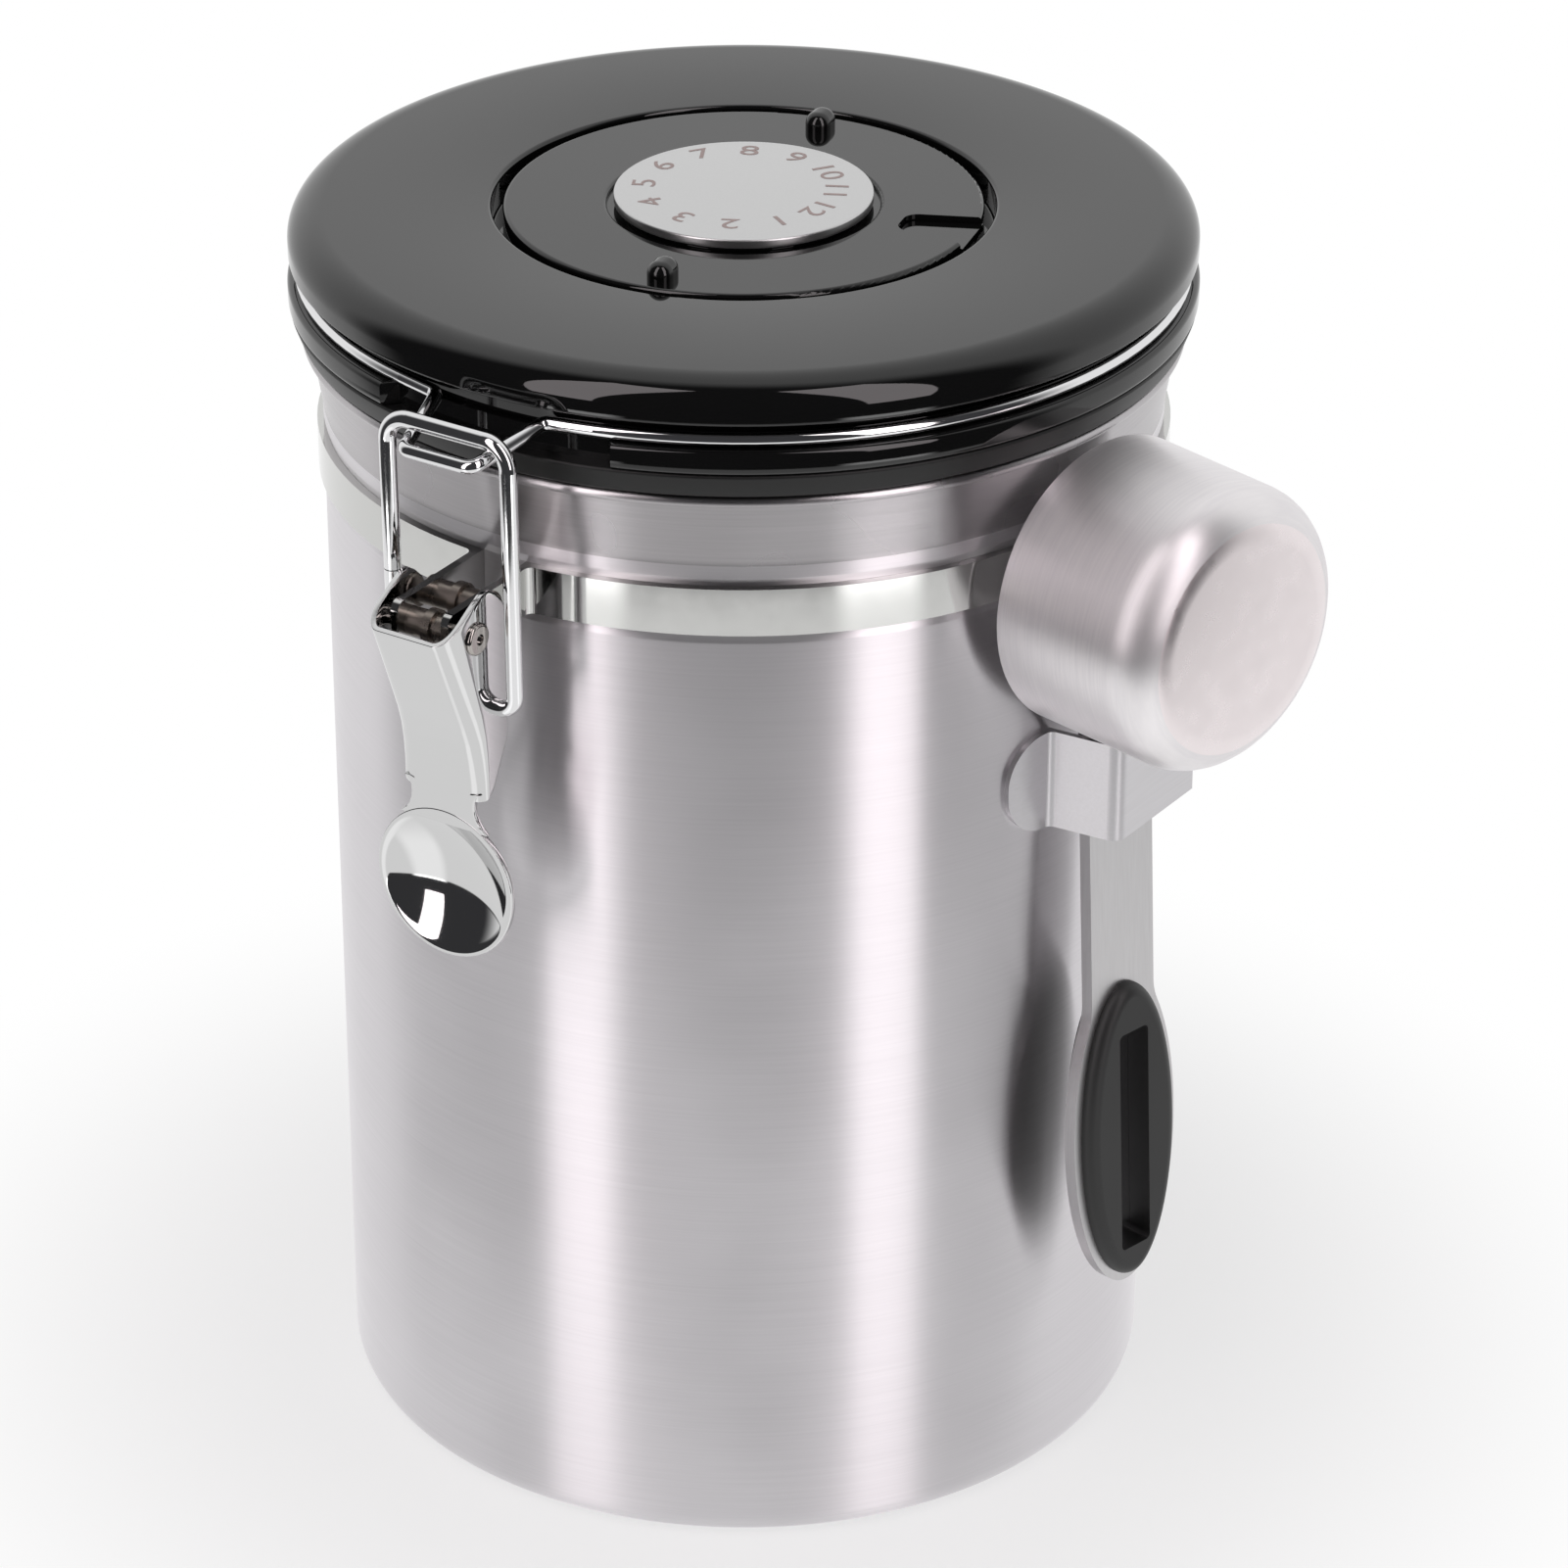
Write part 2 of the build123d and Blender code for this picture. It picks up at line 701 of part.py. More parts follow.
# The screws that hold the cover to the base, from below
for number in range(screw_count):
    screw_azimuth = screw_start_angle + number * 360 / screw_count
    with BuildPart() as lid_screw:
        with BuildSketch(Plane.XY.offset(gasket_top)):
            with PolarLocations(boss_circle, 1, start_angle=screw_azimuth):
                Circle(screw_radius)
        extrude(amount=screw_length)
        with BuildSketch(Plane.XY.offset(gasket_top)):
            with PolarLocations(boss_circle, 1, start_angle=screw_azimuth):
                Circle(screw_head_radius)
        extrude(amount=-screw_head_height)
    lid_screw.part.label = f"lid_screw_{number + 1}"
    export_step(lid_screw.part, f"parts/lid_screw_{number + 1}.step")

# The wire hoop in the lid's groove: nose at the latch, round the lid, legs down to the hinge.
# One half is swept and mirrored.
root_angle = radians(nose_root_angle)
ring_start = outward(nose_root_angle) * hoop_radius
hinge_root_out = hoop_radius * cos(root_angle) + (
    hoop_radius * sin(root_angle) - hinge_leg_half_width
) * tan(root_angle)
ring_end = Vector(ring_start.X, -ring_start.Y, 0)
leg_at = body_radius + hinge_leg_out

with BuildPart() as lid_hoop:
    with BuildLine() as hoop_path:
        FilletPolyline(
            (0, -nose_at, hoop_height - nose_drop),
            (nose_tip_half_width, -nose_at, hoop_height - nose_drop),
            (nose_root_half_width, -nose_root_out, hoop_height),
            (ring_start.X, ring_start.Y, hoop_height),
            radius=hoop_bend_radius,
        )
        CenterArc((0, 0, hoop_height), hoop_radius, nose_root_angle - 90, 180 - 2 * nose_root_angle)
        FilletPolyline(
            (ring_end.X, ring_end.Y, hoop_height),
            (hinge_leg_half_width, hinge_root_out, hoop_height),
            (hinge_leg_half_width, leg_at, hoop_height),
            (hinge_leg_half_width, hinge_at, hinge_height),
            (0, hinge_at, hinge_height),
            radius=hoop_bend_radius,
        )
    hoop_wire = hoop_path.wire()
    with BuildSketch(Plane(origin=hoop_wire @ 0, z_dir=hoop_wire % 0)):
        Circle(hoop_wire_radius)
    sweep(path=hoop_wire)
    mirror(about=Plane.YZ)
lid_hoop.part.label = "lid_hoop"
export_step(lid_hoop.part, "parts/lid_hoop.step")

# The hinge bracket: a strip riveted to the band, bent out and up, its end rolled into a barrel
strip_middle = band_outer + bracket_sheet / 2
barrel_tangent = hinge_at - (hinge_bore_radius + hinge_barrel_radius) / 2

with BuildPart() as hinge_bracket:
    with BuildSketch(hinge_side):
        with BuildLine():
            FilletPolyline(
                (strip_middle, band_bottom + sheet_gap),
                (strip_middle, band_top + bracket_knee_rise),
                (barrel_tangent, hinge_height - bracket_shoulder_drop),
                (barrel_tangent, hinge_height),
                radius=bracket_sheet,
            )
        trace(line_width=bracket_sheet)
        with Locations((hinge_at, hinge_height)):
            Circle(hinge_barrel_radius)
            Circle(hinge_bore_radius, mode=Mode.SUBTRACT)
    extrude(amount=hinge_barrel_length / 2, both=True)
    with BuildSketch(Plane(origin=(0, 0, band_middle), x_dir=(-1, 0, 0), z_dir=(0, 1, 0))):
        with GridLocations(rivet_spacing, band_height, bracket_rivet_count, 1):
            Circle(rivet_radius + sheet_gap)
    extrude(amount=strip_middle + bracket_sheet, mode=Mode.SUBTRACT)
hinge_bracket.part.label = "hinge_bracket"
export_step(hinge_bracket.part, "parts/hinge_bracket.step")

for number in range(bracket_rivet_count):
    rivet_across = (number - (bracket_rivet_count - 1) / 2) * rivet_spacing
    rivet_start = band_inner * cos(asin(rivet_spacing / band_inner)) + moving_gap
    rivet_seat = band_outer + bracket_sheet
    with BuildPart() as bracket_rivet:
        rivet_plane = Plane(origin=(0, rivet_start, band_middle), x_dir=(-1, 0, 0), z_dir=(0, 1, 0))
        with BuildSketch(rivet_plane):
            with Locations((rivet_across, 0)):
                Circle(rivet_radius)
        extrude(amount=rivet_seat - rivet_start)
        with BuildSketch(rivet_plane.offset(rivet_seat - rivet_start)):
            with Locations((rivet_across, 0)):
                Circle(rivet_head_radius)
        extrude(amount=rivet_head_height)
        head_rim = bracket_rivet.edges().filter_by(GeomType.CIRCLE).sort_by(Axis.Y)[-1]
        fillet(head_rim, rivet_head_height * head_round_share)
    bracket_rivet.part.label = f"bracket_rivet_{number + 1}"
    export_step(bracket_rivet.part, f"parts/bracket_rivet_{number + 1}.step")

# The date ring: turns in the recess, held down by the dial over its inner lip
with BuildPart() as date_ring:
    with BuildSketch(Plane.XY.offset(ring_bottom)):
        Circle(ring_outer_radius)
        Circle(ring_bore_radius, mode=Mode.SUBTRACT)
    extrude(amount=ring_thickness)
    with BuildSketch(Plane.XY.offset(ring_bottom)):
        Circle(ring_bore_radius)
        Circle(ring_lip_inner_radius, mode=Mode.SUBTRACT)
    extrude(amount=ring_lip_height)
    ring_rims = date_ring.edges().filter_by(GeomType.CIRCLE).group_by(Axis.Z)[-1]
    fillet(ring_rims, ring_edge_round)
    nub_turns = [nub_azimuth + number * 360 / nub_count for number in range(nub_count)]
    for turn in nub_turns:
        nub_foot = outward(turn) * nub_circle + Vector(0, 0, ring_top - ring_edge_round)
        with BuildSketch(Plane(origin=nub_foot, x_dir=outward(turn), z_dir=(0, 0, 1))):
            SlotOverall(nub_length, nub_width)
        extrude(amount=nub_height + ring_edge_round)
    fillet(date_ring.edges().group_by(Axis.Z)[-1], nub_round)
    notch_plane = Plane(origin=(0, 0, ring_top), x_dir=outward(notch_azimuth), z_dir=(0, 0, 1))
    with BuildSketch(notch_plane) as notch_plan:
        with BuildLine():
            Polyline(
                (notch_inner_circle, notch_inner_width / 2),
                (ring_outer_radius, notch_rim_width / 2),
                (ring_outer_radius + overrun, notch_rim_width / 2),
                (ring_outer_radius + overrun, -notch_rim_width / 2),
                (ring_outer_radius, -notch_rim_width / 2),
                (notch_inner_circle, -notch_inner_width / 2),
                close=True,
            )
        make_face()
        fillet(notch_plan.vertices().group_by(Axis.X)[0], notch_inner_round)
    extrude(amount=-notch_depth, mode=Mode.SUBTRACT)
date_ring.part.label = "date_ring"
export_step(date_ring.part, "parts/date_ring.step")

# The dial: a metal disc on the hub, hollow underneath so that the hub's holes can breathe
with BuildPart() as dial_disc:
    with BuildSketch(Plane.XY.offset(dial_bottom)):
        Circle(dial_radius)
    extrude(amount=dial_thickness)
    chamfer(dial_disc.faces().sort_by(Axis.Z)[-1].edges(), dial_chamfer)
    with BuildSketch(Plane.XY.offset(dial_bottom)):
        Circle(dial_recess_radius)
    extrude(amount=dial_recess_depth, mode=Mode.SUBTRACT)
dial_disc.part.label = "dial_disc"
export_step(dial_disc.part, "parts/dial_disc.step")

# The valve seat: a plug in the lid base's opening, holed, with a headed post that guides the flap
post_length = seat_gap + flap_thickness + flap_travel + seat_gap
with BuildPart() as valve_seat:
    with BuildSketch(Plane.XY.offset(gasket_top)):
        Circle(seat_radius)
    extrude(amount=base_floor_thickness)
    with BuildSketch(Plane.XY.offset(gasket_top)):
        Circle(seat_flange_radius)
    extrude(amount=-seat_flange_thickness)
    with BuildSketch(Plane.XY.offset(base_floor_top)):
        Circle(post_radius)
    extrude(amount=post_length)
    with BuildSketch(Plane.XY.offset(base_floor_top + post_length)):
        Circle(post_head_radius)
    extrude(amount=post_head_height)
    with BuildSketch(Plane.XY.offset(base_floor_top)):
        with PolarLocations(seat_hole_circle, seat_hole_count):
            Circle(seat_hole_radius)
    extrude(amount=-(base_floor_thickness + seat_flange_thickness), mode=Mode.SUBTRACT)
valve_seat.part.label = "valve_seat"
export_step(valve_seat.part, "parts/valve_seat.step")

with BuildPart() as valve_flap:
    with BuildSketch(Plane.XY.offset(base_floor_top + seat_gap)):
        Circle(flap_radius)
        Circle(post_radius + seat_gap, mode=Mode.SUBTRACT)
    extrude(amount=flap_thickness)
valve_flap.part.label = "valve_flap"
export_step(valve_flap.part, "parts/valve_flap.step")

# The filter and its perforated cap in the collar under the valve
collar_bottom = gasket_top - collar_depth
with BuildPart() as valve_cap:
    with BuildSketch(Plane.XY.offset(collar_bottom)):
        Circle(collar_bore_radius - seat_gap)
        for row in range(1, cap_hole_rings + 1):
            with PolarLocations(row * cap_hole_pitch, cap_holes_per_ring * row):
                Circle(cap_hole_radius, mode=Mode.SUBTRACT)
    extrude(amount=cap_thickness)
valve_cap.part.label = "valve_cap"
export_step(valve_cap.part, "parts/valve_cap.step")

with BuildPart() as filter_disc:
    with BuildSketch(Plane.XY.offset(collar_bottom + cap_thickness)):
        Circle(collar_bore_radius - seat_gap)
    extrude(amount=filter_thickness)
filter_disc.part.label = "filter_disc"
export_step(filter_disc.part, "parts/filter_disc.step")

# The scoop's bowl: its mouth faces the can and its flat base faces outward
scoop_normal = outward(scoop_azimuth)
scoop_across = along(scoop_azimuth)
mouth_out = body_radius + scoop_out
mouth_centre = scoop_normal * mouth_out + scoop_across * scoop_shift + Vector(0, 0, scoop_height)
bowl_axis = Axis(mouth_centre, scoop_normal)
bowl_section = Plane(origin=mouth_centre, x_dir=(0, 0, -1), z_dir=scoop_across * -1)
wall_slope = (bowl_rim_radius - bowl_base_radius) / bowl_depth
rivet_middle = (handle_out + saddle_start + saddle_length) / 2


def scoop_rivet_depths():
    """How far out of the mouth each of the two scoop rivets stands."""
    return [rivet_middle - scoop_rivet_spacing / 2, rivet_middle + scoop_rivet_spacing / 2]


with BuildPart() as bowl_form:
    with BuildSketch(bowl_section):
        with BuildLine():
            Polyline(
                (0, 0),
                (bowl_rim_radius, 0),
                (bowl_base_radius, bowl_depth),
                (0, bowl_depth),
                close=True,
            )
        make_face()
    revolve(axis=bowl_axis)

with BuildPart() as scoop_bowl:
    add(bowl_form.part)
    base_edge = scoop_bowl.edges().filter_by(GeomType.CIRCLE).group_by(SortBy.RADIUS)[0]
    fillet(base_edge, bowl_corner_radius)
    mouth_face = scoop_bowl.faces().filter_by(GeomType.PLANE).sort_by(SortBy.AREA)[-1]
    offset(amount=-bowl_wall, openings=mouth_face)
    with BuildSketch(Plane(origin=mouth_centre, x_dir=scoop_normal, z_dir=(0, 0, -1))):
        with Locations(*[(depth, 0) for depth in scoop_rivet_depths()]):
            Circle(rivet_radius + sheet_gap)
    extrude(amount=bowl_rim_radius + overrun, mode=Mode.SUBTRACT)
scoop_bowl.part.label = "scoop_bowl"
export_step(scoop_bowl.part, "parts/scoop_bowl.step")

# The handle: a saddle under the bowl, a flat strip down through the holder and a wide grip plate
lean = radians(handle_lean)
handle_normal = scoop_normal * cos(lean) + Vector(0, 0, sin(lean))
bowl_foot = mouth_centre + scoop_normal * handle_out - Vector(0, 0, bowl_rim_radius)
handle_root = bowl_foot + scoop_across * handle_shift
handle_face = Plane(origin=handle_root, x_dir=scoop_across, z_dir=handle_normal)
grip_centre = -(grip_drop - bowl_rim_radius) / cos(lean)
saddle_far_angle = degrees(asin((handle_width / 2 + handle_shift) / bowl_rim_radius))
saddle_near_angle = degrees(asin((handle_width / 2 - handle_shift) / bowl_rim_radius))

with BuildPart() as scoop_handle:
    with BuildSketch(bowl_section):
        with BuildLine():
            saddle_end = saddle_start + saddle_length
            Polyline(
                (bowl_rim_radius - wall_slope * saddle_start, saddle_start),
                (bowl_rim_radius - wall_slope * saddle_end, saddle_end),
                (bowl_rim_radius - wall_slope * saddle_end + saddle_thickness, saddle_end),
                (bowl_rim_radius - wall_slope * saddle_start + saddle_thickness, saddle_start),
                close=True,
            )
        make_face()
    revolve(axis=bowl_axis, revolution_arc=saddle_far_angle)
    with BuildSketch(bowl_section):
        with BuildLine():
            Polyline(
                (bowl_rim_radius - wall_slope * saddle_start, saddle_start),
                (bowl_rim_radius - wall_slope * saddle_end, saddle_end),
                (bowl_rim_radius - wall_slope * saddle_end + saddle_thickness, saddle_end),
                (bowl_rim_radius - wall_slope * saddle_start + saddle_thickness, saddle_start),
                close=True,
            )
        make_face()
    revolve(axis=bowl_axis, revolution_arc=-saddle_near_angle)
    with BuildSketch(handle_face):
        with Locations((0, (grip_centre + handle_top_rise) / 2)):
            Rectangle(handle_width, handle_top_rise - grip_centre)
        with Locations((0, grip_centre)):
            Ellipse(grip_width / 2, grip_length / 2)
    extrude(amount=-handle_thickness)
    neck_edges = [
        edge
        for edge in scoop_handle.edges()
        if abs(edge.length - handle_thickness) < sheet_gap
        and abs((edge.center() - handle_root).dot(scoop_across)) < handle_width / 2 + sheet_gap
        and (edge.center() - handle_root).Z < -handle_width
    ]
    fillet(neck_edges, grip_neck_radius)
    add(bowl_form.part, mode=Mode.SUBTRACT)
    with BuildSketch(handle_face):
        with Locations((0, grip_centre - slot_drop)):
            RectangleRounded(
                slot_width + 2 * slot_liner, slot_length + 2 * slot_liner, slot_corner_radius + slot_liner
            )
    extrude(amount=-handle_thickness, mode=Mode.SUBTRACT)
    with BuildSketch(Plane(origin=mouth_centre, x_dir=scoop_normal, z_dir=(0, 0, -1))):
        with Locations(*[(depth, 0) for depth in scoop_rivet_depths()]):
            Circle(rivet_radius + sheet_gap)
    extrude(amount=bowl_rim_radius + saddle_thickness + overrun, mode=Mode.SUBTRACT)
scoop_handle.part.label = "scoop_handle"
export_step(scoop_handle.part, "parts/scoop_handle.step")

# The two rubber pads of the grip, with the slot through both; the front one's sleeve lines the slot
sleeve_wall = slot_liner - sheet_gap
with BuildPart() as grip_front:
    with BuildSketch(handle_face):
        with Locations((0, grip_centre)):
            Ellipse(grip_width / 2 - front_pad_inset, grip_length / 2 - front_pad_inset)
    extrude(amount=pad_thickness)
    fillet(grip_front.faces().sort_by(Axis(handle_root, handle_normal))[-1].edges(), pad_edge_radius)
    with BuildSketch(handle_face):
        with Locations((0, grip_centre - slot_drop)):
            RectangleRounded(
                slot_width + 2 * sleeve_wall, slot_length + 2 * sleeve_wall, slot_corner_radius + sleeve_wall
            )
    extrude(amount=sheet_gap - handle_thickness)
    with BuildSketch(handle_face.offset(-handle_thickness)):
        with Locations((0, grip_centre - slot_drop)):
            RectangleRounded(slot_width, slot_length, slot_corner_radius)
    extrude(amount=handle_thickness + pad_thickness, mode=Mode.SUBTRACT)
grip_front.part.label = "grip_front"
export_step(grip_front.part, "parts/grip_front.step")

with BuildPart() as grip_back:
    back_face = handle_face.offset(-handle_thickness)
    with BuildSketch(back_face):
        with Locations((0, grip_centre)):
            Ellipse(grip_width / 2 - back_pad_inset, grip_length / 2 - back_pad_inset)
    extrude(amount=-pad_thickness)
    fillet(grip_back.faces().sort_by(Axis(handle_root, handle_normal))[0].edges(), pad_edge_radius)
    with BuildSketch(back_face):
        with Locations((0, grip_centre - slot_drop)):
            RectangleRounded(slot_width, slot_length, slot_corner_radius)
    extrude(amount=-pad_thickness, mode=Mode.SUBTRACT)
grip_back.part.label = "grip_back"
export_step(grip_back.part, "parts/grip_back.step")

# The two rivets through the bowl and the saddle
for number, depth in enumerate(scoop_rivet_depths()):
    wall_radius = bowl_rim_radius - wall_slope * depth
    with BuildPart() as scoop_rivet:
        inner_seat = wall_radius - bowl_wall - seat_gap
        outer_seat = wall_radius + saddle_thickness + sheet_gap
        shank_plane = Plane(origin=mouth_centre + scoop_normal * depth, x_dir=scoop_across, z_dir=(0, 0, -1))
        with BuildSketch(shank_plane.offset(inner_seat)):
            Circle(rivet_radius)
        extrude(amount=outer_seat - inner_seat)
        with BuildSketch(shank_plane.offset(inner_seat)):
            Circle(rivet_head_radius)
        extrude(amount=-scoop_rivet_head_height)
        with BuildSketch(shank_plane.offset(outer_seat)):
            Circle(rivet_head_radius)
        extrude(amount=scoop_rivet_head_height)
    scoop_rivet.part.label = f"scoop_rivet_{number + 1}"
    export_step(scoop_rivet.part, f"parts/scoop_rivet_{number + 1}.step")

# The scoop holder, an open hook: flange on the can, web outward, plate across the handle
holder_plane = Plane(origin=(0, 0, holder_bottom), x_dir=outward(holder_azimuth), z_dir=(0, 0, 1))
flange_middle = body_radius + holder_sheet / 2
plate_middle = body_radius + holder_out - holder_sheet / 2
web_in_middle = holder_web_in - holder_sheet / 2
web_out_middle = holder_web_out - holder_sheet / 2
web_foot_angle = degrees(asin(web_in_middle / flange_middle))
flange_span = web_foot_angle + degrees(holder_flange_length / flange_middle)

with BuildPart() as scoop_holder:
    with BuildSketch(holder_plane):
        with BuildLine():
            CenterArc((0, 0), flange_middle, -flange_span, flange_span - web_foot_angle)
            FilletPolyline(
                (flange_middle * cos(radians(web_foot_angle)), -web_in_middle),
                (plate_middle, -web_out_middle),
                (plate_middle, holder_free_end),
                radius=holder_bend_radius + holder_sheet / 2,
            )
        trace(line_width=holder_sheet)
    extrude(amount=holder_height)
    web_foot = outward(holder_azimuth - web_foot_angle) * flange_middle
    foot_edges = [
        edge
        for edge in scoop_holder.edges().filter_by(Axis.Z)
        if hypot(edge.center().X - web_foot.X, edge.center().Y - web_foot.Y) < holder_sheet
    ]
    outer_foot = ShapeList(foot_edges).sort_by_distance(Vector(0, 0, holder_bottom))[-1]
    fillet(outer_foot, holder_bend_radius)
    flange_end = outward(holder_azimuth - flange_span) * flange_middle
    end_edges = [
        edge
        for edge in scoop_holder.edges()
        if hypot(edge.center().X - flange_end.X, edge.center().Y - flange_end.Y) < sheet_gap
    ]
    fillet(end_edges, holder_flange_end_radius)
scoop_holder.part.label = "scoop_holder"
export_step(scoop_holder.part, "parts/scoop_holder.step")
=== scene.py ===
# %% [markdown]
# # A steel coffee canister with a wire latch, a dial lid and a scoop
# The solids come from the CAD model. They are already in place and in metres, so this lesson
# dresses them. Each finish is made from what the real surface is: sheet steel brushed on a lathe,
# chrome-plated wire, black moulded ABS, silicone rubber. Round pieces are turned again as smooth
# meshes, and pieces too fine for the solids, such as the dial's printed numbers, are made here.

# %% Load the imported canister
import math

import bmesh
import bpy
from mathutils import Matrix, Vector


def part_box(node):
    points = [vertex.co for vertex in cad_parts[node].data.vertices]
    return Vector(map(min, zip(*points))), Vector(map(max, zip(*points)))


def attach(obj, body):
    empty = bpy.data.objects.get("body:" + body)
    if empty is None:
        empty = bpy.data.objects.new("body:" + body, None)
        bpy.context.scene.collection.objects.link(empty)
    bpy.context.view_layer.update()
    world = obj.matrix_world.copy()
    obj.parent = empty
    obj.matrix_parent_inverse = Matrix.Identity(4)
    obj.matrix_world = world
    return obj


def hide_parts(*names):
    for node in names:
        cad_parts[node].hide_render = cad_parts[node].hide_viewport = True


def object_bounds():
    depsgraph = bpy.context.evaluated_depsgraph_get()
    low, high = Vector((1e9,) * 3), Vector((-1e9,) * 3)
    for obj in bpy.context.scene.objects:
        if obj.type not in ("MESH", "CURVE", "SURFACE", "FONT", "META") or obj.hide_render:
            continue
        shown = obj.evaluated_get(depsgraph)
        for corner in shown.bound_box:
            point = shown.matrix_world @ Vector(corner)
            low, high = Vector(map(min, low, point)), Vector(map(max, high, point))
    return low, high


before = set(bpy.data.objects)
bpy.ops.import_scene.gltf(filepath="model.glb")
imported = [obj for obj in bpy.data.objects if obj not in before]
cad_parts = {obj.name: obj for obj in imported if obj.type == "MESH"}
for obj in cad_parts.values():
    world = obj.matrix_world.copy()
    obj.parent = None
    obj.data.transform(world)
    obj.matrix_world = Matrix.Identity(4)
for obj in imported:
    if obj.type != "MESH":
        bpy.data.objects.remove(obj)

solid_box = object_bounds()
print("solids:", len(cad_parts), "pieces, box",
      [[round(v, 4) for v in corner] for corner in solid_box])

# %% [markdown]
# ## The camera
# The picture was taken with a long lens from above the front right. The camera stands about 0.94 m
# away, turned 32.6 degrees off the latch side and looking down 27.9 degrees. A long lens keeps the
# can's sides nearly parallel, which is why its walls hardly narrow toward the base. The turn, the
# tilt and the small roll are written as three rotations, one after the other.

# %% Set up the camera
scene = bpy.context.scene
picture_width = 1601
focal_pixels = 6153.25
sensor_width = 36.0
camera_place = (0.42864, -0.66005, 0.51018)
camera_turn = math.radians(32.5776)
camera_tilt = math.radians(90 - 27.938)
camera_roll = math.radians(0.0987)
camera_data = bpy.data.cameras.new("product_camera")
camera_data.sensor_width = sensor_width
camera_data.lens = sensor_width * focal_pixels / picture_width
camera = bpy.data.objects.new("product_camera", camera_data)
scene.collection.objects.link(camera)
camera.matrix_world = (
    Matrix.Translation(camera_place)
    @ Matrix.Rotation(camera_turn, 4, "Z")
    @ Matrix.Rotation(camera_tilt, 4, "X")
    @ Matrix.Rotation(camera_roll, 4, "Z")
)
scene.camera = camera
print("lens", round(camera_data.lens, 2), "mm")

# %% [markdown]
# ## Colours and nodes
# A colour on the screen is written as a hex value, but the renderer works with linear light. One
# function turns the first into the second. A second adds a node, sets it and links it, and a few
# short ones name the nodes used most, so that each material below reads as a list of steps.

# %% Helpers for colours and nodes
def linear(hex_colour):
    values = []
    for start in (1, 3, 5):
        share = int(hex_colour[start:start + 2], 16) / 255
        values.append(share / 12.92 if share <= 0.04045 else ((share + 0.055) / 1.055) ** 2.4)
    return (*values, 1.0)


def add(tree, kind, settings=None, **inputs):
    new = tree.nodes.new(kind)
    for name, value in (settings or {}).items():
        setattr(new, name, value)
    for name, value in inputs.items():
        numbered = name.startswith("in") and name[2:].isdigit()
        socket = new.inputs[int(name[2:])] if numbered else new.inputs[name.replace("_", " ")]
        if isinstance(value, bpy.types.NodeSocket):
            tree.links.new(value, socket)
        else:
            socket.default_value = value
    return new


def numbers(tree, operation, first, second):
    return add(tree, "ShaderNodeMath", {"operation": operation}, in0=first, in1=second).outputs[0]


def vectors(tree, operation, first, output="Vector", **rest):
    node = add(tree, "ShaderNodeVectorMath", {"operation": operation}, in0=first, **rest)
    return node.outputs[output]


def between(tree, value, low, high, start=0.0, end=1.0, curve="LINEAR"):
    return add(tree, "ShaderNodeMapRange", {"interpolation_type": curve}, Value=value,
               From_Min=low, From_Max=high, To_Min=start, To_Max=end).outputs["Result"]


def noise(tree, place, size, detail=2.0, roughness=0.5):
    return add(tree, "ShaderNodeTexNoise", Vector=place, Scale=1 / size, Detail=detail,
               Roughness=roughness).outputs["Fac"]


def two_tones(tree, share, dark, light):
    return add(tree, "ShaderNodeMix", {"data_type": "RGBA"}, Factor=share,
               in6=linear(dark), in7=linear(light)).outputs[2]


def relief(tree, height, strength, depth):
    return add(tree, "ShaderNodeBump", Strength=strength, Distance=depth, Height=height).outputs[0]


def new_finish(name):
    finish = bpy.data.materials.new(name)
    finish.use_nodes = True
    tree = finish.node_tree
    tree.nodes.clear()
    return finish, tree, add(tree, "ShaderNodeTexCoord").outputs["Object"]


def show(tree, shader):
    add(tree, "ShaderNodeOutputMaterial", Surface=shader.outputs[0])


def dress(finish, *nodes):
    for name in nodes:
        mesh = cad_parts[name].data
        mesh.materials.clear()
        mesh.materials.append(finish)
    print(finish.name, "on", ", ".join(nodes))


print("white", linear("#ffffff")[:3], "mid grey", [round(v, 3) for v in linear("#808080")[:3]])

# %% [markdown]
# ## Pieces that are round
# The can, the lid, the gasket, the dial and the scoop's bowl are all made round an axis: drawn, spun
# or moulded. The solids are cut into flat facets, which break a mirror-like highlight into steps.
# So each round piece is turned again here, as on a lathe: its half profile, in millimetres, is
# carried round the axis in one-degree steps. Each corner is a radius, a height and the size of its
# round, because a real pressed or moulded edge has a round and it is what catches the light.

# %% A lathe for half profiles
lathe_steps = 360
sharp_edge = math.radians(28)
straight_left = 0.49
merge_distance = 0.0000005
round_steps = 8


def rounded(corners):
    line = []
    for at, (radius, height, round_size) in enumerate(corners):
        here = Vector((radius, height))
        before = Vector(corners[at - 1][:2]) - here
        after = Vector(corners[(at + 1) % len(corners)][:2]) - here
        if not round_size:
            line.append(here)
            continue
        half_bend = before.angle(after) / 2
        reach = min(round_size / math.tan(half_bend),
                    before.length * straight_left, after.length * straight_left)
        round_size = reach * math.tan(half_bend)
        inward = (before.normalized() + after.normalized()).normalized()
        middle = here + inward * round_size / math.sin(half_bend)
        start = here + before.normalized() * reach - middle
        end = here + after.normalized() * reach - middle
        for step in range(round_steps + 1):
            line.append(middle + start.slerp(end, step / round_steps).normalized() * round_size)
    return line


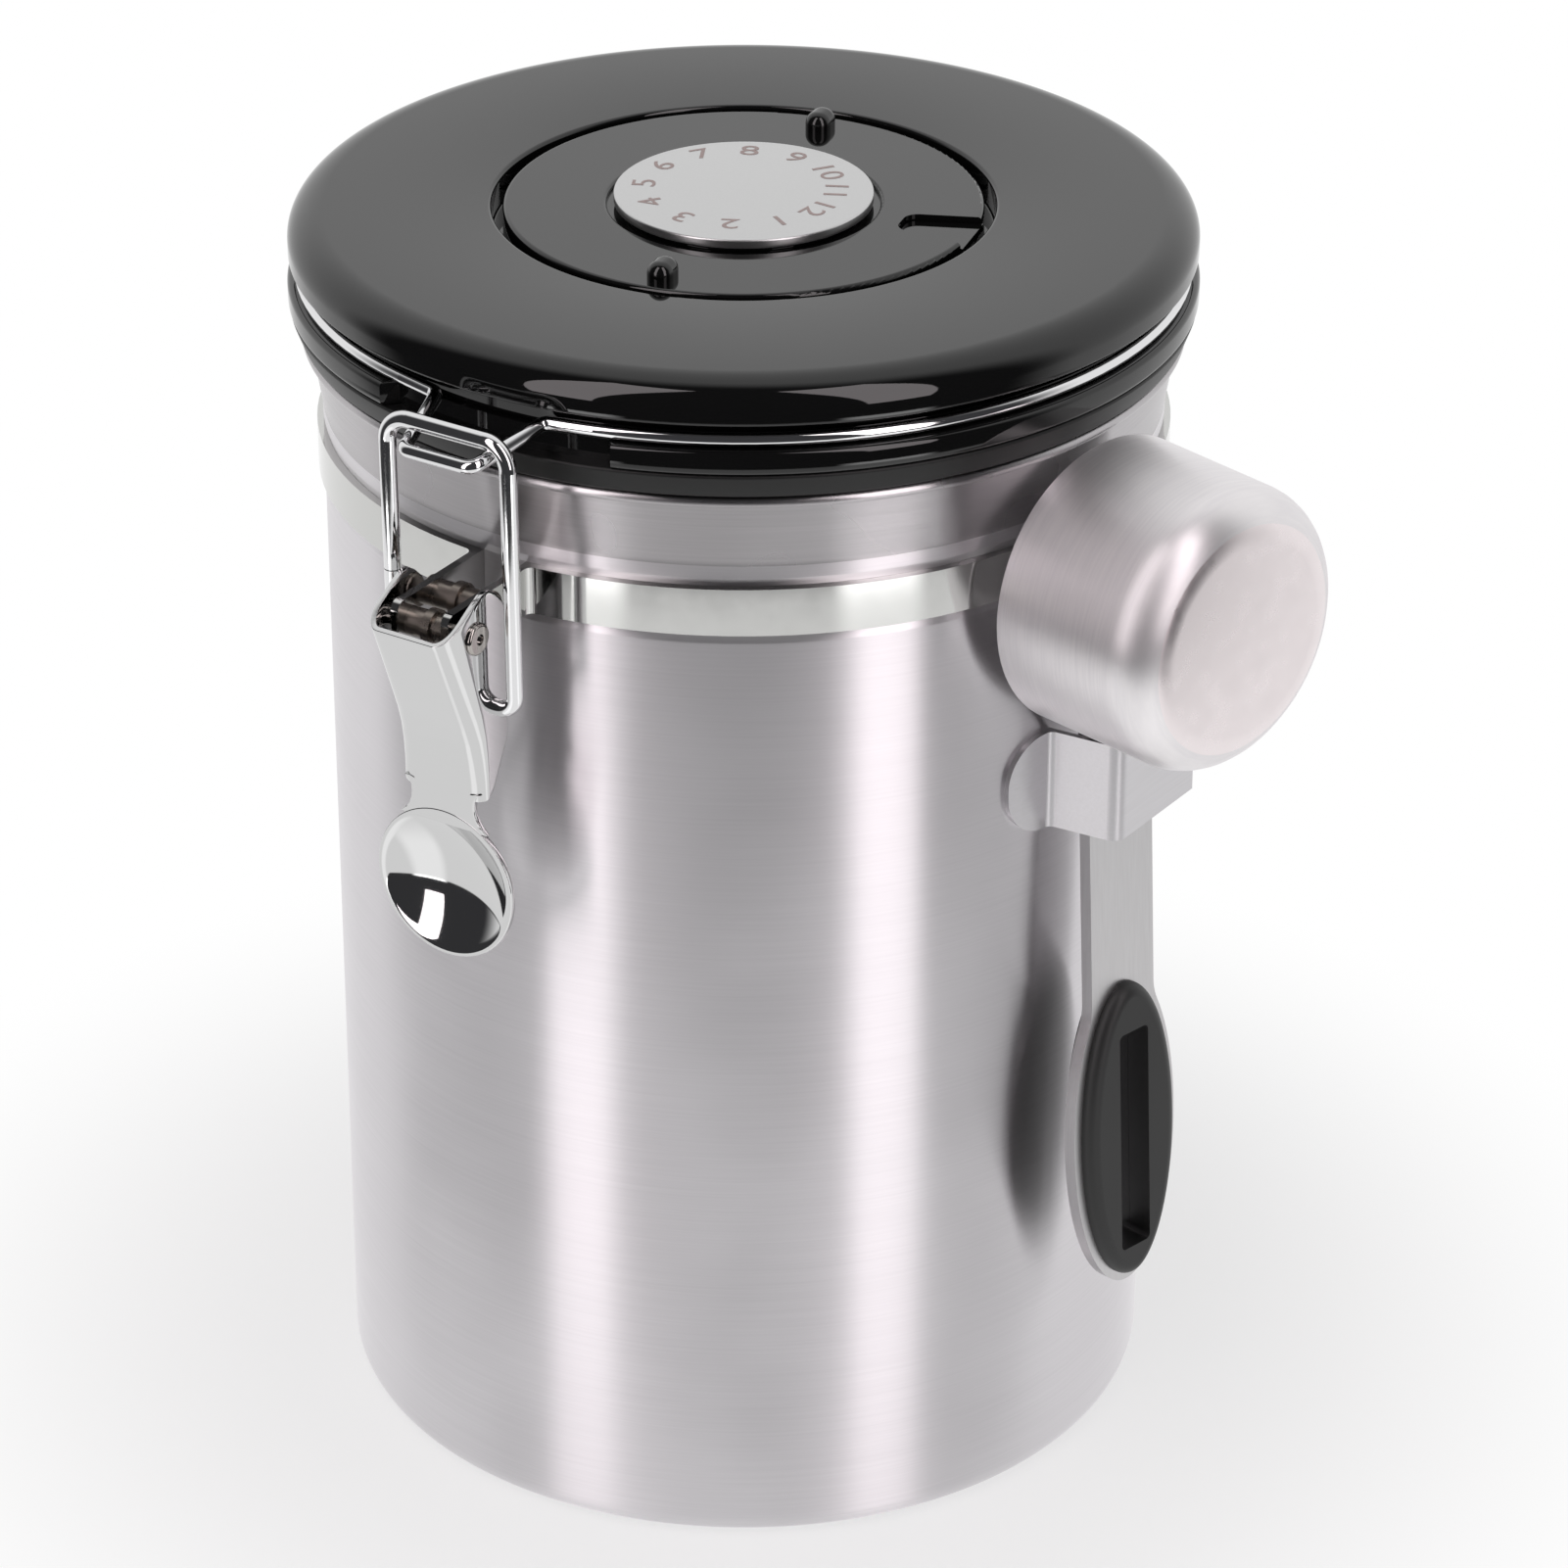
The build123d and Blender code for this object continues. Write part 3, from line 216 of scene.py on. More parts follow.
def turned_piece(name, corners, finish, node, body, place=None, cut=None):
    line = rounded(corners)
    count = len(line)
    points, faces = [], []
    for step in range(lathe_steps):
        turn = math.tau * step / lathe_steps
        for radius, height in line:
            reach = min(radius, cut(turn)) if cut else radius
            points.append((reach * math.cos(turn) / 1000, reach * math.sin(turn) / 1000,
                           height / 1000))
    for step in range(lathe_steps):
        here, following = step * count, (step + 1) % lathe_steps * count
        for at in range(count):
            ahead = (at + 1) % count
            if line[at].x or line[ahead].x:
                faces.append((here + at, following + at, following + ahead, here + ahead))
    mesh = bpy.data.meshes.new(name)
    mesh.from_pydata(points, [], faces)
    work = bmesh.new()
    work.from_mesh(mesh)
    bmesh.ops.remove_doubles(work, verts=work.verts, dist=merge_distance)
    bmesh.ops.recalc_face_normals(work, faces=work.faces)
    work.to_mesh(mesh)
    work.free()
    mesh.shade_smooth()
    mesh.set_sharp_from_angle(angle=sharp_edge)
    if place:
        mesh.transform(place)
    mesh.materials.append(finish)
    piece = bpy.data.objects.new(name, mesh)
    scene.collection.objects.link(piece)
    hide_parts(node)
    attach(piece, body)
    print(name, "turned from", count, "points,", len(mesh.polygons), "faces")
    return piece


# %% [markdown]
# ## Brushed stainless steel, turned
# The can is rolled from stainless sheet and brushed on a lathe, so every scratch runs round the can.
# Real scratches are some 0.05 mm wide, too fine for this picture, and are drawn about 0.4 mm wide so
# that they just show. Brushing also spreads a reflection across the scratches and not along them:
# a lamp turns into a tall bright band. That is what the anisotropic value does, and it needs a
# direction, which is found here from the place of each point round the axis of the piece.

# %% Turned steel finish
scratch_width = 0.0004
scratch_depth = 0.000001
scratch_breaks = 2.2
stain_size = 1 / 28
stain_roughness = 0.03
across_scratches = 0.25


def turned_steel(name, dark, light, centre, axis, roughness, streak=1.0):
    finish, tree, place = new_finish(name)
    across = Vector(axis).normalized()
    from_centre = vectors(tree, "SUBTRACT", place, in1=centre)
    round_way = vectors(tree, "CROSS_PRODUCT", across, in1=from_centre)
    round_unit = vectors(tree, "NORMALIZE", round_way)
    radius = vectors(tree, "LENGTH", round_way, output="Value")
    height = vectors(tree, "DOT_PRODUCT", from_centre, output="Value", in1=across)
    along_profile = numbers(tree, "ADD", height, radius)
    line_number = numbers(tree, "DIVIDE", along_profile, scratch_width)
    line_way = vectors(tree, "SCALE", across, Scale=line_number)
    spread = vectors(tree, "SCALE", round_unit, Scale=scratch_breaks)
    scratch_place = vectors(tree, "ADD", line_way, in1=spread)
    scratches = noise(tree, scratch_place, 1.0, 3.0, 0.6)
    colour = two_tones(tree, between(tree, scratches, 0.3, 0.7), dark, light)
    rough = between(tree, noise(tree, place, stain_size), 0.3, 0.7,
                    roughness - stain_roughness, roughness + stain_roughness)
    tangent = add(tree, "ShaderNodeVectorTransform",
                  {"vector_type": "VECTOR", "convert_from": "OBJECT", "convert_to": "WORLD"},
                  Vector=round_unit).outputs[0]
    show(tree, add(tree, "ShaderNodeBsdfPrincipled", Base_Color=colour, Metallic=1.0,
                   Roughness=rough, Anisotropic=streak, Anisotropic_Rotation=across_scratches,
                   Normal=relief(tree, scratches, 0.5, scratch_depth), Tangent=tangent))
    return finish


can_middle, upward = (0, 0, 0), (0, 0, 1)
can_steel = turned_steel("turned_stainless_can", "#d4d1d4", "#d9d6d9", can_middle, upward, 0.33)
# The neck's steel is a darker copy of the can's steel: painted shade under the lid's overhang.
shaded_neck_steel = turned_steel("turned_stainless_neck_painted_shade", "#b1aeb0", "#b8b5b7", can_middle, upward, 0.28)
print("can and neck steel, scratches", scratch_width * 1000, "mm wide")

# %% [markdown]
# ## The can
# The can is drawn from 0.8 mm sheet in one piece. Its base is lifted 1.6 mm, so that only a ring of
# it touches the table. The wall has a shallow seat for the clamp band. Above the seat the neck
# flares by 2 mm and ends in a rolled lip, which the gasket sits on. The flared neck has its own
# steel, a little darker than the wall: painted shade, for the shade under the lid's overhang.

# %% The can: raised base, wall with the band's seat, flared neck, rolled lip
sheet = 0.8
wall, wall_inside = 60.0, 59.2
base_lift, foot_in, foot_out = 1.6, 51.3, 52.9
seat_foot, seat_low, seat_high, seat_head, seat_sink = 146.0, 147.6, 154.5, 155.7, 0.35
neck_foot = 158.0
can_outside = [
    (0, base_lift, 0), (foot_in, base_lift, 1), (foot_out, 0, 0.6), (wall, 0, 4.1),
    (wall, seat_foot, 1.5), (wall - seat_sink, seat_low, 0.4), (wall - seat_sink, seat_high, 0.4),
    (wall, seat_head, 1), (wall, neck_foot, 5),
]
rolled_lip = [
    (61.5, 167.2, 0.3), (62.45, 167.34, 0.5), (62.8, 168, 0.7),
    (62.4, 168.7, 0.5), (61.6, 168.7, 0.5), (61.2, 168, 0.4),
]
can_inside = [
    (wall_inside, neck_foot, 4), (wall_inside, seat_head, 1),
    (wall_inside - seat_sink, seat_high, 0.4), (wall_inside - seat_sink, seat_low, 0.4),
    (wall_inside, seat_foot, 1), (wall_inside, sheet, 3.3), (foot_out, sheet, 0.6),
    (foot_in, base_lift + sheet, 1), (0, base_lift + sheet, 0),
]
can = turned_piece("drawn_can", can_outside + rolled_lip + can_inside, can_steel,
                   "canister_body", "canister")
can.data.materials.append(shaded_neck_steel)
neck_start = 0.1575
# Faces above the neck's foot take the darker steel: painted shade under the lid.
for face in can.data.polygons:
    if face.center.z > neck_start:
        face.material_index = 1

# %% [markdown]
# ## Polished and plated steel
# The clamp band and the hinge bracket are stainless strip with a bright rolled finish. The latch and
# the wires are steel with chrome plating, which is smoother and brighter. Neither is a perfect
# mirror: the pressed sheet has a slight waviness and faint haze, which keep the reflections alive.

# %% Polished band and plated lever
haze_size = 1 / 300


def polished_steel(name, colour, roughness, wave_size, wave_depth):
    finish, tree, place = new_finish(name)
    rough = between(tree, noise(tree, place, haze_size, 4.0), 0.0, 1.0,
                    roughness * 0.6, roughness * 1.4)
    waves = relief(tree, noise(tree, place, wave_size), 0.6, wave_depth)
    show(tree, add(tree, "ShaderNodeBsdfPrincipled", Base_Color=linear(colour), Metallic=1.0,
                   Roughness=rough, Normal=waves))
    return finish


band_steel = polished_steel("bright_rolled_steel", "#c6c6c4", 0.08, 0.02, 0.000008)
dress(band_steel, "clamp_band", "hinge_bracket")
lever_chrome = polished_steel("chrome_plated_lever", "#cbcbcb", 0.05, 0.012, 0.00001)

# %% [markdown]
# ## The latch lever
# The lever is folded from 0.8 mm sheet: a channel with rounded bends, whose face slopes in toward the
# can and runs out into a short neck and a round dished tab. It is drawn here as a sheet across its
# width, from the back edge of one wall over the face to the back edge of the other, and given its
# thickness afterwards, as folded sheet has. The rim of the sheet is rounded, so it shines.

# %% Folded channel
pivot = Vector((0, -76.3, 150.7))
channel_half = 6.9
bend_radius = 2.4
bend_share, back_steps = 2.5 / 14, 14
face_line = [(7.0, 1.1), (5.0, -4.0), (3.0, -9.1), (1.2, -13.7),
             (0.2, -16.8), (-0.4, -19.8), (-0.75, -22.8), (-0.85, -25.6)]
wall_top = [(7.0, 1.1), (4.0, 2.9), (0.6, 4.8), (-1.4, 5.8),
            (-2.9, 6.1), (-4.4, 5.1), (-6.0, 3.5), (-6.8, 1.6)]
wall_foot = [(-0.85, -25.6), (-1.9, -25.3), (-3.1, -24.4), (-4.2, -22.3),
             (-5.0, -20.8), (-5.8, -19.3), (-6.5, -18.0), (-6.8, -17.0)]


def along_line(line, share):
    place = share * (len(line) - 1)
    low = min(int(place), len(line) - 2)
    return Vector(line[low]).lerp(Vector(line[low + 1]), place - low)


def wall_point(back, down):
    front = along_line(face_line, down)
    ruled = along_line(wall_top, back).lerp(along_line(wall_foot, back), down)
    front_ruled = Vector(wall_top[0]).lerp(Vector(wall_foot[0]), down)
    return ruled + (front - front_ruled) * (1 - back)


half_section = [(channel_half, back / back_steps) for back in range(back_steps, 2, -1)]
for step in range(9):
    turn = math.radians(90 * step / 8)
    half_section.append((channel_half - bend_radius * (1 - math.cos(turn)),
                         bend_share * (1 - math.sin(turn))))
half_section += [(channel_half - bend_radius - side, 0) for side in (1.0, 2.2, 3.4)]
section = half_section + [(0, 0)] + [(-side, back) for side, back in reversed(half_section)]
levels = 40
lever_points, lever_faces = [], []


def add_grid(first, rows, columns):
    for row in range(rows - 1):
        for column in range(columns - 1):
            here = first + row * columns + column
            lever_faces.append((here, here + 1, here + columns + 1, here + columns))


for level in range(levels + 1):
    for side, back in section:
        out, height = wall_point(back, level / levels)
        lever_points.append((pivot + Vector((side, -out, height))) / 1000)
add_grid(0, levels + 1, len(section))
print("channel", len(lever_faces), "faces")

# %% [markdown]
# ### Neck and dished tab
# The tab is a disc that a punch has dished, so its hollow is part of a ball with a small flat rim
# round it. The neck between channel and tab is waisted, since the blank is cut narrower there.

# %% Neck and dished tab
tab_middle = pivot + Vector((0, 0.8, -39.5))
tab_radius, dish_reach, dish_depth = 11.2, 10.5, 3.2
dish_ball = (dish_reach**2 + dish_depth**2) / (2 * dish_depth)
dish_rings = 14
rings = [dish_reach * step / dish_rings for step in range(dish_rings + 1)] + [tab_radius]
tab_steps = 96
first = len(lever_points)
for reach in rings:
    depth_here = math.sqrt(dish_ball**2 - min(reach, dish_reach)**2)
    sink = max(0.0, dish_depth - dish_ball + depth_here)
    for step in range(tab_steps):
        turn = math.tau * step / tab_steps
        spot = tab_middle + Vector((reach * math.sin(turn), sink, reach * math.cos(turn)))
        lever_points.append(spot / 1000)
for ring in range(len(rings) - 1):
    for step in range(tab_steps):
        ahead = (step + 1) % tab_steps
        here, outer = first + ring * tab_steps, first + (ring + 1) * tab_steps
        lever_faces.append((here + step, here + ahead, outer + ahead, outer + step))
neck_edge = [(6.4, 15.2), (5.6, 14.6), (5.3, 13.8), (5.2, 12.8),
             (5.3, 11.8), (5.7, 10.9), (6.4, 10.0), (7.2, 9.2)]
neck_columns = 9
neck_set_back = 0.02
first = len(lever_points)
for half, height in neck_edge:
    for column in range(neck_columns):
        side = half * (2 * column / (neck_columns - 1) - 1)
        lever_points.append((tab_middle + Vector((side, neck_set_back, height))) / 1000)
add_grid(first, len(neck_edge), neck_columns)

# %% Lever sheet: normals outward, thickness, rounded rim
facing_limit = 0.05
lever_mesh = bpy.data.meshes.new("folded_lever")
lever_mesh.from_pydata(lever_points, [], lever_faces)
work = bmesh.new()
work.from_mesh(lever_mesh)
bmesh.ops.remove_doubles(work, verts=work.verts, dist=0.000001)
bmesh.ops.recalc_face_normals(work, faces=work.faces)
for face in work.faces:
    backward = face.normal.y > facing_limit
    sideways = abs(face.normal.y) <= facing_limit
    if backward or (sideways and face.normal.x * face.calc_center_median().x < 0):
        face.normal_flip()
work.to_mesh(lever_mesh)
work.free()
lever_mesh.shade_smooth()
lever_mesh.materials.append(lever_chrome)
folded_lever = bpy.data.objects.new("folded_lever", lever_mesh)
scene.collection.objects.link(folded_lever)
thickness = folded_lever.modifiers.new("sheet", "SOLIDIFY")
thickness.thickness = 0.0008
thickness.offset = -1.0
rim = folded_lever.modifiers.new("rim", "BEVEL")
rim.width = 0.00028
rim.segments = 3
rim.limit_method = "ANGLE"
rim.angle_limit = math.radians(50)
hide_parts("latch_lever")
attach(folded_lever, "lever")
print("lever sheet:", len(lever_mesh.polygons), "faces")

# %% [markdown]
# ## Wire, pins and screws
# The bail and the hoop are bent from plated wire. The rivet and the sleeves between the ears are
# plain steel that has darkened, the rivet heads and the pivot pin are brighter, and the screws under
# the lid are zinc-plated, which is duller than chrome.

# %% Plated wire, pins and screws
wire_chrome = polished_steel("chrome_plated_wire", "#dededf", 0.06, 0.02, 0.00001)
dress(wire_chrome, "latch_bail", "lid_hoop")
pin_steel = polished_steel("darkened_pin_steel", "#8c847d", 0.28, 0.003, 0.00003)
dress(pin_steel, "ear_tie_rivet", "ear_spacer", "pivot_spacer")
head_steel = polished_steel("bright_rivet_steel", "#a9a4a0", 0.10, 0.003, 0.00001)
dress(head_steel, "lever_pivot_pin", "bracket_rivet_1", "bracket_rivet_2")
screw_steel = polished_steel("zinc_plated_screw", "#b4b4b6", 0.3, 0.004, 0.00002)
dress(screw_steel, "lid_screw_1", "lid_screw_2", "lid_screw_3", "lid_screw_4")

# %% [markdown]
# ## The scoop's bowl
# The bowl is drawn from thin stainless sheet and brushed on its own axis, which points out of the
# can's side. Its flat end is pressed against a die and comes out an even satin, so it has its own
# finish, without lines.

# %% Scoop bowl
bowl_rim, bowl_end_radius, bowl_depth, bowl_round = 20.8, 20.5, 26.8, 6.5
bowl_sheet = 0.8
bowl_azimuth = math.radians(76)
bowl_mouth_out, bowl_mouth_along, bowl_mouth_height = 0.0633, 0.0084, 0.1464
bowl_axis = Vector((math.sin(bowl_azimuth), -math.cos(bowl_azimuth), 0.0))
bowl_across = Vector((math.cos(bowl_azimuth), math.sin(bowl_azimuth), 0.0))
bowl_centre = (bowl_axis * bowl_mouth_out + bowl_across * bowl_mouth_along
               + Vector((0, 0, bowl_mouth_height)))
bowl_steel = turned_steel("turned_stainless_bowl", "#e0dddf", "#e8e5e6",
                          bowl_centre, bowl_axis, 0.42, 0.6)
bowl_place = Matrix((bowl_across, (0, 0, 1), bowl_axis)).transposed().to_4x4()
bowl_place.translation = bowl_centre
bowl = turned_piece("spun_bowl", [
    (0, bowl_depth, 0), (bowl_end_radius, bowl_depth, bowl_round), (bowl_rim, 0, 0.3),
    (bowl_rim - bowl_sheet, 0, 0.3),
    (bowl_end_radius - bowl_sheet, bowl_depth - bowl_sheet, bowl_round - bowl_sheet),
    (0, bowl_depth - bowl_sheet, 0),
], bowl_steel, "scoop_bowl", "scoop", bowl_place)
bowl_end = polished_steel("satin_bowl_end", "#eae2e3", 0.30, 0.003, 0.000004)
bowl.data.materials.append(bowl_end)
end_depth = 0.0262
for face in bowl.data.polygons:
    if (face.center - bowl_centre).dot(bowl_axis) > end_depth:
        face.material_index = 1

# %% [markdown]
# ## Handle strip and hook
# The handle and the hook that holds it are cut from strip and brushed along its length. So their
# lines run straight: the noise is squeezed across the strip and drawn out along it.

# %% Handle strip and hook
line_stretch = -0.97
strip_depth = 0.000008
strip_roughness, strip_streak = 0.3, 0.6
hook_way = (0.0349, 0.9994, 0)


def strip_steel(name, dark, light, length_way):
    finish, tree, place = new_finish(name)
    way = Vector(length_way).normalized()
    lines_place = vectors(tree, "SCALE", place, Scale=1 / scratch_width)
    along = vectors(tree, "DOT_PRODUCT", lines_place, output="Value", in1=way)
    pull = vectors(tree, "SCALE", way, Scale=numbers(tree, "MULTIPLY", along, line_stretch))
    scratches = noise(tree, vectors(tree, "ADD", lines_place, in1=pull), 1.0, 3.0, 0.6)
    tangent = add(tree, "ShaderNodeVectorTransform",
                  {"vector_type": "VECTOR", "convert_from": "OBJECT", "convert_to": "WORLD"},
                  Vector=way).outputs[0]
    show(tree, add(tree, "ShaderNodeBsdfPrincipled", Metallic=1.0, Roughness=strip_roughness,
                   Base_Color=two_tones(tree, scratches, dark, light), Anisotropic=strip_streak,
                   Anisotropic_Rotation=across_scratches,
                   Normal=relief(tree, scratches, 0.5, strip_depth), Tangent=tangent))
    return finish


handle_steel = strip_steel("brushed_handle_strip", "#b9b7b8", "#c6c5c6", upward)
dress(handle_steel, "scoop_handle", "scoop_rivet_1", "scoop_rivet_2")
hook_steel = strip_steel("brushed_hook_strip", "#bfbdbf", "#cbc9cc", hook_way)
dress(hook_steel, "scoop_holder")

# %% [markdown]
# ## Black ABS, silicone and soft grip
# The lid's cover, base and date ring are injection-moulded ABS from a polished mould: nearly black,
# with a clear mirror on top that shows the studio. Its index of refraction is about 1.5. The gasket
# is silicone rubber, which is duller, and the grip is a soft thermoplastic rubber with a fine grain.

# %% Moulded finishes
flow_size = 1 / 18
silicone_ior = 1.41


def moulded(name, dark, light, roughness, grain_size, grain_depth, ior=1.5):
    finish, tree, place = new_finish(name)
    flow = noise(tree, place, flow_size)
    rough = between(tree, flow, 0.0, 1.0, roughness * 0.75, roughness * 1.25)
    grain = relief(tree, noise(tree, place, grain_size, 3.0), 0.4, grain_depth)
    show(tree, add(tree, "ShaderNodeBsdfPrincipled", Base_Color=two_tones(tree, flow, dark, light),
                   Roughness=rough, IOR=ior, Normal=grain))
    return finish


lid_abs = moulded("gloss_black_abs", "#0b0b0b", "#0e0e0e", 0.03, 0.0006, 0.0000015)
dress(lid_abs, "date_ring")
gasket_silicone = moulded("black_silicone", "#080808", "#0b0b0b", 0.42, 0.0005, 0.000006,
                          silicone_ior)

# %% [markdown]
# ## The lid's cover
# The cover is one moulding: a hub that carries the dial, a round recess that the date ring turns in,
# a flat top with an oval edge, and a skirt with a groove under it for the wire hoop. The oval edge
# is what draws the soft boxes out into short streaks.

# %% Lid cover
hub, hub_top = 17.0, 186.0
recess, recess_floor = 35.5, 181.5
edge_start, edge_foot, edge_width, edge_rise = 59.0, 182.0, 5.2, 3.9
skirt, skirt_foot = 64.2, 179.9
groove_root, cover_foot = 60.8, 176.3
cover_inside, roof = 59.3, 183.9
recess_outside, recess_under = 37.0, 180.0
hub_inside, hub_under = 15.4, 184.4
edge_curve = [
    (edge_start + edge_width * math.sin(math.radians(turn)),
     edge_foot + edge_rise * math.cos(math.radians(turn)), 0)
    for turn in range(0, 91, 3)
]
turned_piece("moulded_lid_cover", [
    (0, hub_top, 0), (hub, hub_top, 0.2), (hub, recess_floor, 0.2), (recess, recess_floor, 0.3),
    (recess, edge_foot + edge_rise, 0.6), *edge_curve,
    (skirt, skirt_foot, 0.4), (groove_root, skirt_foot, 0.3), (groove_root, cover_foot, 0.2),
    (cover_inside, cover_foot, 0.2), (cover_inside, roof, 0.3), (recess_outside, roof, 0.3),
    (recess_outside, recess_under, 0.3), (hub_inside, recess_under, 0.3),
    (hub_inside, hub_under, 0.3), (0, hub_under, 0),
], lid_abs, "lid_cover", "lid")

# %% [markdown]
# ## The lid's base and the gasket
# The base closes the cover from below. Its plug reaches into the can, a collar in the middle holds
# the valve, and its outer ring is cut back behind the bail, so that the wire has room. The gasket
# lies under that ring on the can's rolled lip.

# %% Lid base and gasket
cut_half_angle = math.radians(16.3)
ring_cut_radius = 61.8
ring_outside, ring_foot, ring_top = 64.4, 172.8, 176.3
seat_bore, collar_inside, collar_outside, collar_foot = 9.55, 13.2, 14.6, 167.2
plug_inside, plug_outside, plug_foot = 55.0, 57.0, 162.3
floor_outside, floor_top = 58.0, 174.8


def ring_reach(turn):
    from_latch = abs((turn + math.pi / 2 + math.pi) % math.tau - math.pi)
    return ring_cut_radius if from_latch < cut_half_angle else ring_outside


turned_piece("moulded_lid_base", [
    (seat_bore, ring_foot, 0.1), (collar_inside, ring_foot, 0), (collar_inside, collar_foot, 0.2),
    (collar_outside, collar_foot, 0.2), (collar_outside, ring_foot, 0), (plug_inside, ring_foot, 0),
    (plug_inside, plug_foot, 0.5), (plug_outside, plug_foot, 0.5), (plug_outside, ring_foot, 0),
    (ring_outside, ring_foot, 0.8), (ring_outside, ring_top, 0.8),
    (floor_outside, ring_top, 0.3), (floor_outside, floor_top, 0.3), (seat_bore, floor_top, 0.1),
], lid_abs, "lid_base", "lid", cut=ring_reach)
turned_piece("silicone_gasket", [
    (57.1, 169.1, 0.3), (62.9, 169.1, 0.6), (64.3, 172.8, 0.4), (57.1, 172.8, 0.3),
], gasket_silicone, "gasket", "lid")

# %% [markdown]
# ## The notch's floor
# A finger turns the date ring by its notch, which widens toward the rim. The real notch is only
# about a millimetre deep and the solid's is two, so a thin floor is laid into it here.

# %% Floor of the date ring's notch
notch_turn = math.radians(103.5)
notch_out = Vector((math.sin(notch_turn), -math.cos(notch_turn), 0))
notch_side = Vector((math.cos(notch_turn), math.sin(notch_turn), 0))
notch_heights = (183.9, 184.9)
notch_plan = [(24.2, 2.4), (33.8, 4.8), (33.8, -4.8), (24.2, -2.4), (23.6, -1.2), (23.6, 1.2)]
notch_points = [
    (notch_out * out + notch_side * side + Vector((0, 0, height))) / 1000
    for height in notch_heights for out, side in notch_plan
]
notch_faces = [(0, 1, 2, 3, 4, 5), (11, 10, 9, 8, 7, 6)]
notch_faces += [(at, (at + 1) % 6, (at + 1) % 6 + 6, at + 6) for at in range(6)]
notch_mesh = bpy.data.meshes.new("notch_floor")
notch_mesh.from_pydata(notch_points, [], notch_faces)
notch_mesh.materials.append(lid_abs)
notch_floor = bpy.data.objects.new("notch_floor", notch_mesh)
scene.collection.objects.link(notch_floor)
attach(notch_floor, "date_ring")
print("notch floor", len(notch_faces), "faces")

# %% [markdown]
# ## Grip and valve
# The grip's two pads are soft rubber with a fine matt grain. The valve's seat and cap are natural
# polypropylene, its flap clear silicone and its filter pressed felt. They show only when the lid is
# open.

# %% Grip, valve parts and felt
grip_rubber = moulded("soft_grip_rubber", "#0d0d0d", "#121212", 0.5, 0.0005, 0.00001)
dress(grip_rubber, "grip_front", "grip_back")
valve_plastic = moulded("natural_polypropylene", "#d8d6cf", "#e2e0da", 0.4, 0.001, 0.00001)
dress(valve_plastic, "valve_seat", "valve_cap")
flap_silicone = moulded("clear_grey_silicone", "#c9c7c2", "#d6d4cf", 0.45, 0.001, 0.00001,
                        silicone_ior)
dress(flap_silicone, "valve_flap")
filter_felt = moulded("pressed_felt", "#d5cfc2", "#e6e1d6", 0.95, 0.0003, 0.0001)
dress(filter_felt, "filter_disc")

# %% [markdown]
# ## The dial
# The dial is a satin silver disc, painted or anodised, with a fine grit. It sits on the hub, with a
# shallow hollow under it.

# %% Dial
grit_size = 0.0003
dial_radius, dial_foot, dial_height, dial_hollow = 18.3, 186.0, 187.3, 12.5
dial_satin, tree, place = new_finish("satin_silver_dial")
grit = noise(tree, place, grit_size, 3.0)
show(tree, add(tree, "ShaderNodeBsdfPrincipled", Metallic=1.0, Roughness=0.3,
               Base_Color=two_tones(tree, grit, "#c1c1c1", "#c7c7c7"),
               Normal=relief(tree, grit, 0.4, 0.00001)))
turned_piece("satin_dial", [
    (0, dial_height, 0), (dial_radius, dial_height, 0.3), (dial_radius, dial_foot, 0.1),
    (dial_hollow, dial_foot, 0.1), (dial_hollow, dial_foot + 0.6, 0.1), (0, dial_foot + 0.6, 0),
], dial_satin, "dial_disc", "lid")

# %% [markdown]
# ## Printed numbers
# The months are printed round the dial as twelve small brown numbers. They are made as text, because
# type has the right curves at any size. They stand with their tops outward and are only 0.02 mm
# thick, like a screen print, whose ink lies a little thicker in some places than in others.

# %% Printed numbers
ink, tree, place = new_finish("brown_print")
ink_tone = two_tones(tree, noise(tree, place, 0.0002), "#998582", "#ad9b98")
show(tree, add(tree, "ShaderNodeBsdfPrincipled", Base_Color=ink_tone, Roughness=0.5))
dial_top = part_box("dial_disc")[1].z
number_radius = 0.0134
number_height = 0.0034
number_width = 1.25
capital_share = 0.7
ink_half = 0.00001
ink_middle = 0.00002
ring_start, month_step = -3, 30
number_middle = Vector((-0.0011, 0.0007, dial_top + ink_middle))
for number in range(1, 13):
    angle = math.radians(ring_start - month_step * number)
    text = bpy.data.curves.new(f"month_{number}", "FONT")
    text.body = str(number)
    text.size = number_height / capital_share
    text.align_x = "CENTER"
    text.align_y = "CENTER"
    text.extrude = ink_half
    text.materials.append(ink)
    month = bpy.data.objects.new(f"month_{number}", text)
    scene.collection.objects.link(month)
    outward = Vector((math.cos(angle), math.sin(angle), 0))
    month.matrix_world = (
        Matrix.Translation(number_middle + outward * number_radius)
        @ Matrix.Rotation(angle - math.pi / 2, 4, "Z")
        @ Matrix.Diagonal((number_width, 1.0, 1.0, 1.0))
    )
    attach(month, "lid")
print("numbers stand at", round(dial_top * 1000, 2), "mm")

# %% [markdown]
# ## The studio
# The picture has a white ground behind the can, a dark room behind the camera, and two tall soft
# boxes, one each side of the camera. On the turned steel each box becomes a tall bright band, and on
# the lid's rounded edge a short bright streak, while the dark room keeps the rest of the lid's edge
# black. The can stands on a small white table, which lights its lower half from below. Under each
# soft box the table is brighter, and the box goes on past the table's edge, so both show again in
# the polished band and the lid's lower ring.

